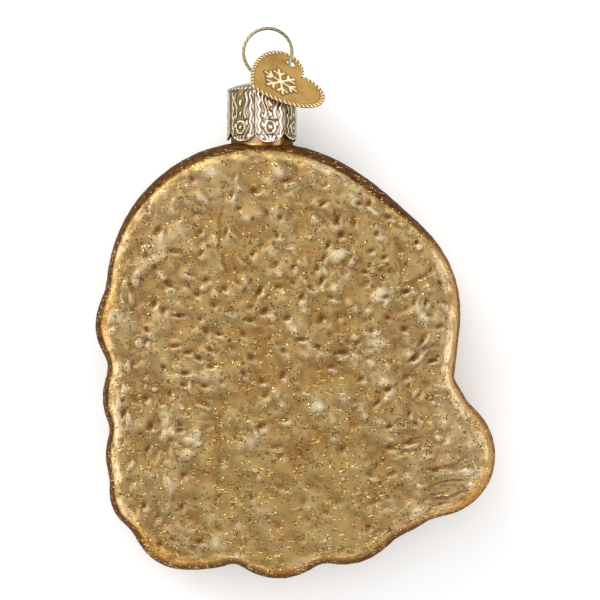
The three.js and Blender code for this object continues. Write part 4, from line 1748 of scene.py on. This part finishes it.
        # Painted shade: the side tabs and the whole top are darkened by their angle round the
        # axis.
        tarnish = np.maximum(smoothstep(-aside, 8, 36), smoothstep(aside, 36, 44))
        tarnish *= 1 - 0.55 * smoothstep(abs(aside), 64, 84)
        tarnish = np.where(on_skirt, tarnish, 1.0)
        # The raised value also colours the metal: painted shade in its hollows, painted
        # highlight on its ridges.
        return make_piece("cap_shell", vertices, faces, raised=np.tile(raised, 2)[used],
                          tarnish=np.tile(tarnish, 2)[used])

    def _punch_holes(self, sheet: Sheet, layers: list[list[Array]]) -> None:
        """Two round holes in the top for the hanger's legs, through both layers."""
        for side in (-1, 1):
            across = side * self.leg_spread + np.tan(np.radians(self.lean)) * 0.1
            before = sheet.faces
            for x, _, z in layers:
                sheet.faces = before
                sheet.punch(x, z, (across, 0.0), self.leg_hole)


# ---- the hanger


@dataclass
class WireHanger:
    """The springy wire: a round loop, two knees and two legs down through the cap.

    Attributes:
        origin: Where the cap's top and axis meet.
        wire: The wire's radius.
        loop_radius, loop_height: The loop's radius, and its middle's height.
        lean: How far the whole hanger leans to +X, in degrees.
        leg_spread, leg_depth: How far each leg is from the middle, and how far down.
        sides, step: The wire's faces round it, and the length of each along it.
    """

    origin: Point
    wire: float = 0.345
    loop_radius: float = 4.75
    loop_height: float = 7.1
    lean: float = 9.1
    leg_spread: float = 1.7
    leg_depth: float = 4.9
    knee_radius: float = 1.2
    sides: int = 16
    step: float = 0.09

    @property
    def loop_centre(self) -> Point:
        """The middle of the loop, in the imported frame."""
        lean = np.radians(self.lean)
        return (self.origin[0] + self.loop_height * np.sin(lean),
                self.origin[1] + self.loop_height * np.cos(lean), self.origin[2])

    def _route(self) -> tuple[Array, Array]:
        """Points and inward normals along the wire, in the loop's own plane.

        By the length from the loop's top, each half is an arc of the loop, then an arc
        of the knee that bends the other way, then a straight leg.
        """
        knee_x = self.leg_spread + self.knee_radius
        reach = self.loop_radius + self.knee_radius
        knee_y = self.loop_height - np.sqrt(reach**2 - knee_x**2)
        meet = np.arctan2(self.loop_height - knee_y, -knee_x)
        loop_length = self.loop_radius * (np.pi / 2 - (meet - np.pi))
        knee_length = self.knee_radius * (np.pi - meet)
        total = loop_length + knee_length + knee_y + self.leg_depth
        along = np.linspace(-total, total, 2 * int(total / self.step) + 1)
        far, side = abs(along), np.where(along < 0, -1.0, 1.0)
        loop_turn = np.pi / 2 - np.minimum(far, loop_length) / self.loop_radius
        knee_turn = meet + np.clip(far - loop_length, 0, knee_length) / self.knee_radius
        down = np.maximum(far - loop_length - knee_length, 0)
        on_loop = far <= loop_length
        x = np.where(on_loop, self.loop_radius * np.cos(loop_turn),
                     knee_x + self.knee_radius * np.cos(knee_turn))
        y = np.where(on_loop, self.loop_height + self.loop_radius * np.sin(loop_turn),
                     knee_y + self.knee_radius * np.sin(knee_turn) - down)
        normal_x = np.where(on_loop, np.cos(loop_turn), -np.cos(knee_turn))
        normal_y = np.where(on_loop, np.sin(loop_turn), -np.sin(knee_turn))
        return (np.stack([side * x, y], axis=1), np.stack([side * normal_x, normal_y], 1))

    def build(self) -> Piece:
        """The wire: a circle with a faint twisted mark, carried along the route.

        Returns:
            The object.
        """
        points, normals = self._route()
        lean = np.radians(-self.lean)
        spin = np.array([[np.cos(lean), np.sin(lean)], [-np.sin(lean), np.cos(lean)]])
        points, normals = points @ spin, normals @ spin
        turn = circle(self.sides)
        along = np.arange(len(points))[:, None] * self.step
        mark = np.clip(np.cos(3 * turn + along * TURN / 1.1), 0.2, 1)
        radius = self.wire * (0.98 + 0.02 * mark)
        rings = np.zeros((len(points), self.sides, 3))
        rings[..., :2] = points[:, None] + normals[:, None] * (radius * np.cos(turn))[..., None]
        rings[..., 2] = radius * np.sin(turn)
        vertices, faces = tube(rings + np.array(self.origin), wraps=False)
        # The twist mark's ridges are painted as bright streaks, a painted highlight.
        shade = np.concatenate([mark.ravel(), [0.5, 0.5]])
        return make_piece("hanger_wire", vertices, faces, raised=0.55 + 0.25 * shade)


# ---- the tag


@dataclass
class HeartTag:
    """The brass heart on the loop: a thin stamped plate inside a twisted border.

    Attributes:
        loop_centre: The middle of the hanger's loop.
        loop_radius: The loop's radius.
        waves, crest_at: The sizes of the three cosines, and where their sum is highest.
        tip_round: The share of the plain sine.
        plate_inset, border_inset: How far in from the heart's own outline each lies.
        strands_pitch: The length of half a twist of the border.
        slack, grip: How far off the loop's radius the hole hangs, and at which angle.
        lean, lean_toward, turn: How far the tag leans out of the loop's plane and which
            way, and how far it is turned in its own plane, in degrees.
    """

    loop_centre: Point
    loop_radius: float
    width: float = 15.7
    height: float = 15.8
    waves: Point = (13, -3.43, -2.34)
    crest_at: float = 0.883
    tip_round: float = 0.05
    thickness: float = 0.3
    plate_inset: float = 0.08
    border_inset: float = 0.48
    border_half_width: float = 0.38
    border_half_height: float = 0.33
    strands_pitch: float = 0.95
    border_steps: int = 900
    border_sides: int = 20
    hole: Pair = (-3.84, 5.47)
    hole_radius: float = 0.9
    slack: float = 0.25
    grip: float = -26
    lean_toward: float = 58.2
    lean: float = 50
    turn: float = -62.8
    cells: int = 104
    motif_radius: float = 3.5
    motif_height: float = 0.16
    motif_place: Pair = (0.3, -0.4)

    def _heart(self, share: Array, inset: float) -> tuple[Array, Array]:
        """The outline at shares of its length, from the notch down the right side.

        Across it runs the cube of a sine with a little plain sine, and up it runs a sum
        of three cosines, stretched to the tag's height.

        Args:
            share: The shares of its length.
            inset: How far it is shrunk at its sides.

        Returns:
            The places across and up.
        """
        t = np.linspace(0, TURN, 4001)
        rise = lambda u: sum(size * np.cos((k + 1) * u) for k, size in enumerate(self.waves))
        low, high = rise(np.pi), rise(self.crest_at)
        x = self.width / 2 * ((1 - self.tip_round) * np.sin(t) ** 3
                              + self.tip_round * np.sin(t))
        y = self.height * ((rise(t) - low) / (high - low) - 0.5)
        length = np.concatenate([[0], np.cumsum(np.hypot(np.diff(x), np.diff(y)))])
        along = (share % 1) * length[-1]
        scale = 1 - 2 * inset / self.width
        return np.interp(along, length, x) * scale, np.interp(along, length, y) * scale

    def _seat(self, local: Array) -> Array:
        """Turns local points in the tag's plane, leans them and hangs them on the loop."""
        toward = np.radians(self.lean_toward)
        leaned = turn_matrix((-np.sin(toward), np.cos(toward), 0), self.lean)
        turned = leaned @ turn_matrix((0, 0, 1), self.turn)
        grip = np.radians(self.grip)
        reach = self.loop_radius + self.slack
        seat = np.array(self.loop_centre) + reach * np.array([np.cos(grip), np.sin(grip), 0])
        return (local - np.array([*self.hole, 0])) @ turned.T + seat

    def _motif(self, x: Array, y: Array) -> tuple[Array, Array]:
        """A plain six-armed ice star: its ridges, and the hollows along them.

        Args:
            x, y: Points on the plate.

        Returns:
            Two shares, each 0 off the star.
        """
        strokes = []
        for arm in range(6):
            angle = np.radians(60 * arm + 90)
            out = np.array([np.cos(angle), np.sin(angle)])
            strokes.append(dense_line([(0, 0), tuple(out * self.motif_radius)], 0.08))
            root = out * self.motif_radius * 0.56
            for side in (-1, 1):
                branch = angle + side * np.radians(52)
                end = root + self.motif_radius * 0.36 * np.array(
                    [np.cos(branch), np.sin(branch)])
                strokes.append(dense_line([tuple(root), tuple(end)], 0.08))
        far = near_strokes(x - self.motif_place[0], y - self.motif_place[1], strokes)
        return dome(far, 0.36) ** 0.6, bell(far - 0.5, 0.14)

    def build_plate(self) -> Piece:
        """The plate: shrunk copies of the outline, with the star stamped through it.

        Returns:
            The object.
        """
        sheet = Sheet.disc(self.cells)
        x, y = self._heart(0.25 - sheet.angle / TURN, self.plate_inset)
        x, y = x * sheet.reach, y * sheet.reach
        sheet.punch(x, y, self.hole, self.hole_radius)
        star, groove = self._motif(x, y)
        bend = 0.05 * gradient_noise(x, y, (5.0, 5.0), 12)
        from_hole = np.hypot(x - self.hole[0], y - self.hole[1]) - self.hole_radius
        lip = bell(from_hole - 0.15, 0.2)
        z = bend * (1 - sheet.reach**4) + self.motif_height * star + 0.05 * lip
        z = z - 0.04 * groove
        upper = np.stack([x, y, z + self.thickness / 2], axis=1)
        lower = np.stack([x, y, z - self.thickness / 2], axis=1)
        # Painted shade in the star's grooves and painted highlight on its ridges; the plate is
        # also darker in a ring just inside the border.
        inside = bell(sheet.reach - 0.885, 0.02)
        raised = 0.45 * (1 - np.maximum(groove * (star < 0.4), 0.8 * inside))
        raised = np.maximum(raised, star)
        vertices, faces, used = sheet.closed(self._seat(upper), self._seat(lower))
        return make_piece("tag_plate", vertices, faces, raised=np.tile(raised, 2)[used])

    def build_border(self) -> Piece:
        """The border: two strands twisted together, carried round the heart.

        The section's radius falls to a crease between the strands, which turn half
        round for each pitch of the way.

        Returns:
            The object.
        """
        share = np.arange(self.border_steps) / self.border_steps
        x, y = self._heart(share, self.border_inset)
        total = np.hypot(np.roll(x, -1) - x, np.roll(y, -1) - y).sum()
        beads = round(total / self.strands_pitch)
        dx = np.roll(x, -3) - np.roll(x, 3)
        dy = np.roll(y, -3) - np.roll(y, 3)
        size = np.hypot(dx, dy)
        out_x, out_y = -dy / size, dx / size
        turn = circle(self.border_sides)
        lobes = abs(np.cos(turn - np.pi * beads * share[:, None]))
        radius = 0.66 + 0.34 * lobes**0.8
        wide = self.border_half_width * radius * np.cos(turn)
        tall = self.border_half_height * radius * np.sin(turn)
        rings = np.stack([x[:, None] + out_x[:, None] * wide,
                          y[:, None] + out_y[:, None] * wide, tall], axis=2)
        vertices, faces = tube(rings[:, ::-1], wraps=True)
        # The strands' lobes are painted as highlights.
        return make_piece("tag_border", self._seat(vertices), faces,
                          raised=lobes[:, ::-1].ravel() ** 1.5)


# ---- the studio


@dataclass(frozen=True)
class SoftBox:
    """One soft light: its place, what it looks at, its size and how bright it looks."""

    name: str
    place: Point
    size: Pair
    radiance: float
    colour: Colour = (1.0, 1.0, 1.0)
    target: Point = (0.0, 0.0, 0.01)

    def build(self) -> None:
        """Adds the light. Its power is its radiance times pi times its area."""
        light = bpy.data.lights.new(self.name, "AREA")
        light.shape = "RECTANGLE"
        light.size, light.size_y = self.size
        light.energy = self.radiance * np.pi * self.size[0] * self.size[1]
        light.color = self.colour
        lamp = bpy.data.objects.new(self.name, light)
        lamp.location = self.place
        aim = Vector(self.target) - Vector(self.place)
        lamp.rotation_euler = aim.to_track_quat("-Z", "Y").to_euler()
        bpy.context.scene.collection.objects.link(lamp)


@dataclass
class Studio:
    """The floor, the lights and the camera that looks straight down.

    Attributes:
        view_centre: What the camera stands above.
        distance: From the camera to the middle of the glass.
        view_width: How wide the view is at that height.
    """

    view_centre: Pair = (0.0009, 0.00042)
    middle: float = 0.0112
    distance: float = 0.45
    view_width: float = 0.1176
    sensor: float = 36.0
    world: float = 0.6
    boxes: tuple[SoftBox, ...] = (
        SoftBox("key_above", (-0.26, 0.38, 0.36), (0.5, 0.3), 3.6),
        SoftBox("fill_above", (0.06, 0.04, 0.6), (0.6, 0.36), 1.5),
        SoftBox("right_side", (0.5, 0.0, 0.15), (0.6, 0.2), 2.4, (1.0, 0.97, 0.94)),
        SoftBox("left_side", (-0.5, -0.02, 0.15), (0.6, 0.2), 3.0, (1.0, 0.97, 0.92)),
        SoftBox("below_side", (0.05, -0.5, 0.15), (0.5, 0.18), 1.8),
    )

    def build(self) -> None:
        """Makes the floor, the world, the lights and the camera."""
        bpy.context.scene.view_settings.view_transform = "Standard"
        self._floor()
        world = bpy.data.worlds.new("studio_white")
        world.use_nodes = True
        Wiring(world.node_tree).fill(world.node_tree.nodes["Background"],
                                     Strength=self.world, Color=(1, 1, 1))
        bpy.context.scene.world = world
        for box in self.boxes:
            box.build()
        data = bpy.data.cameras.new("camera")
        data.sensor_width = self.sensor
        data.lens = self.sensor * self.distance / self.view_width
        data.clip_start = 0.01
        camera = bpy.data.objects.new("camera", data)
        camera.location = (*self.view_centre, self.middle + self.distance)
        bpy.context.scene.collection.objects.link(camera)
        bpy.context.scene.camera = camera

    @staticmethod
    def _floor() -> None:
        """A wide flat sheet at the height that the ornament lies on."""
        half = 3.0 / MM
        corners = [(-half, -half, 0), (half, -half, 0), (half, half, 0), (-half, half, 0)]
        floor = make_piece("floor", np.array(corners), [np.arange(4)[None]], smooth=False)
        floor.data.materials.append(Paper().material())


# ---- putting it together


def settle(piece: Piece, material: Material, body: Body, slot: Slot,
           *nodes: str) -> None:
    """Dresses a piece and hands it to the frame.

    Args:
        piece: The finished object.
        material: What it is made of.
        body: The body that it rides on.
        slot: The record's slot of its finish; not used.
        nodes: The solids that it stands for.
    """
    piece.data.materials.append(material)
    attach(piece, body.value)
    if nodes:
        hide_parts(*nodes)
    log.info("%s: %d faces", piece.name, len(piece.data.polygons))


GLITTER_KINDS = (
    FlakeKind("glitter_dark", 301, 5000, length=(0.1, 0.16), width=(0.1, 0.16),
              finish=Glitter("dark_glitter", roughness=0.7, metallic=0.0, specular=0.0),
              colours=(rgb(98, 60, 8), rgb(74, 48, 4), rgb(54, 40, 4))),
    FlakeKind("glitter_olive", 304, 4600, length=(0.1, 0.15), width=(0.1, 0.15),
              finish=Glitter("olive_glitter", roughness=0.7, metallic=0.0, specular=0.0),
              colours=(rgb(78, 62, 6), rgb(98, 64, 6), rgb(60, 52, 6))),
    FlakeKind("glitter_bright", 302, 1650, length=(0.09, 0.17), width=(0.09, 0.17),
              finish=Glitter("bright_glitter", roughness=0.3, metallic=0.6),
              colours=(rgb(255, 230, 124), rgb(240, 200, 76), rgb(255, 242, 184)),
              corners=5, tilt=16, low_bias=0.2, rim_bias=1.3),
    FlakeKind("glitter_slivers", 303, 1650, length=(0.25, 0.75), width=(0.06, 0.1),
              finish=Glitter("sliver_glitter", roughness=0.3, metallic=0.55),
              colours=(rgb(208, 172, 66), rgb(240, 208, 106), rgb(186, 146, 46)),
              tilt=8, level=True, low_bias=3.2, rim_bias=1.8),
)

CAP_METAL = PlatedMetal(
    "stamped_metal", bright=rgb(252, 240, 226), ground=rgb(226, 206, 186),
    hollow=rgb(92, 72, 46), stain_and_shade=rgb(84, 72, 34), scale=320.0, roughness=0.2,
    scratch=0.00002)
WIRE_METAL = PlatedMetal(
    "wire_metal", bright=rgb(214, 206, 182), ground=rgb(124, 114, 86),
    hollow=rgb(84, 74, 46), stain_and_shade=rgb(92, 82, 52), scale=400.0, roughness=0.22,
    scratch=0.00001)
TAG_METAL = PlatedMetal(
    "tag_metal", bright=rgb(255, 232, 194), ground=rgb(180, 142, 78),
    hollow=rgb(92, 54, 14), stain_and_shade=rgb(136, 104, 40), scale=420.0, roughness=0.3,
    scratch=0.000012)


def main() -> None:
    """Builds the ornament from its glass outwards, then the studio."""
    logging.basicConfig(level=logging.INFO, format="%(name)s %(message)s")
    Studio().build()
    low, high = (np.array(corner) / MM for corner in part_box("cap"))
    axis_x, axis_z = (low[0] + high[0]) / 2, (low[2] + high[2]) / 2
    offset = (axis_x - GlassBody.neck_x, high[1] - CAP_POLE)

    effects = Effects()
    glass = LacqueredGlass().material(effects)
    shell = GlassBody(offset).build()
    settle(shell, glass, Body.ORNAMENT, Slot.GLASS, "glass_body")
    neck = GlassNeck(axis_x, axis_z, offset[1]).build()
    settle(neck, glass, Body.ORNAMENT, Slot.GLASS, "glass_body")
    coat = GlitterCoat(shell)
    for kind in GLITTER_KINDS:
        settle(coat.scatter(kind), kind.finish.material(), Body.ORNAMENT, Slot.GLASS)

    cap = StampedCap(axis_x, axis_z, offset[1])
    cap_metal = CAP_METAL.material(effects)
    settle(cap.build(), cap_metal, Body.ORNAMENT, Slot.CAP, "cap")
    hanger = WireHanger((axis_x, cap.top + offset[1], axis_z))
    wire_metal = WIRE_METAL.material(effects)
    settle(hanger.build(), wire_metal, Body.ORNAMENT, Slot.WIRE, "hanger")
    tag = HeartTag(hanger.loop_centre, hanger.loop_radius)
    brass = TAG_METAL.material(effects)
    settle(tag.build_plate(), brass, Body.TAG, Slot.TAG, "tag")
    settle(tag.build_border(), brass, Body.TAG, Slot.TAG, "tag")


if __name__ == "__main__":
    main()
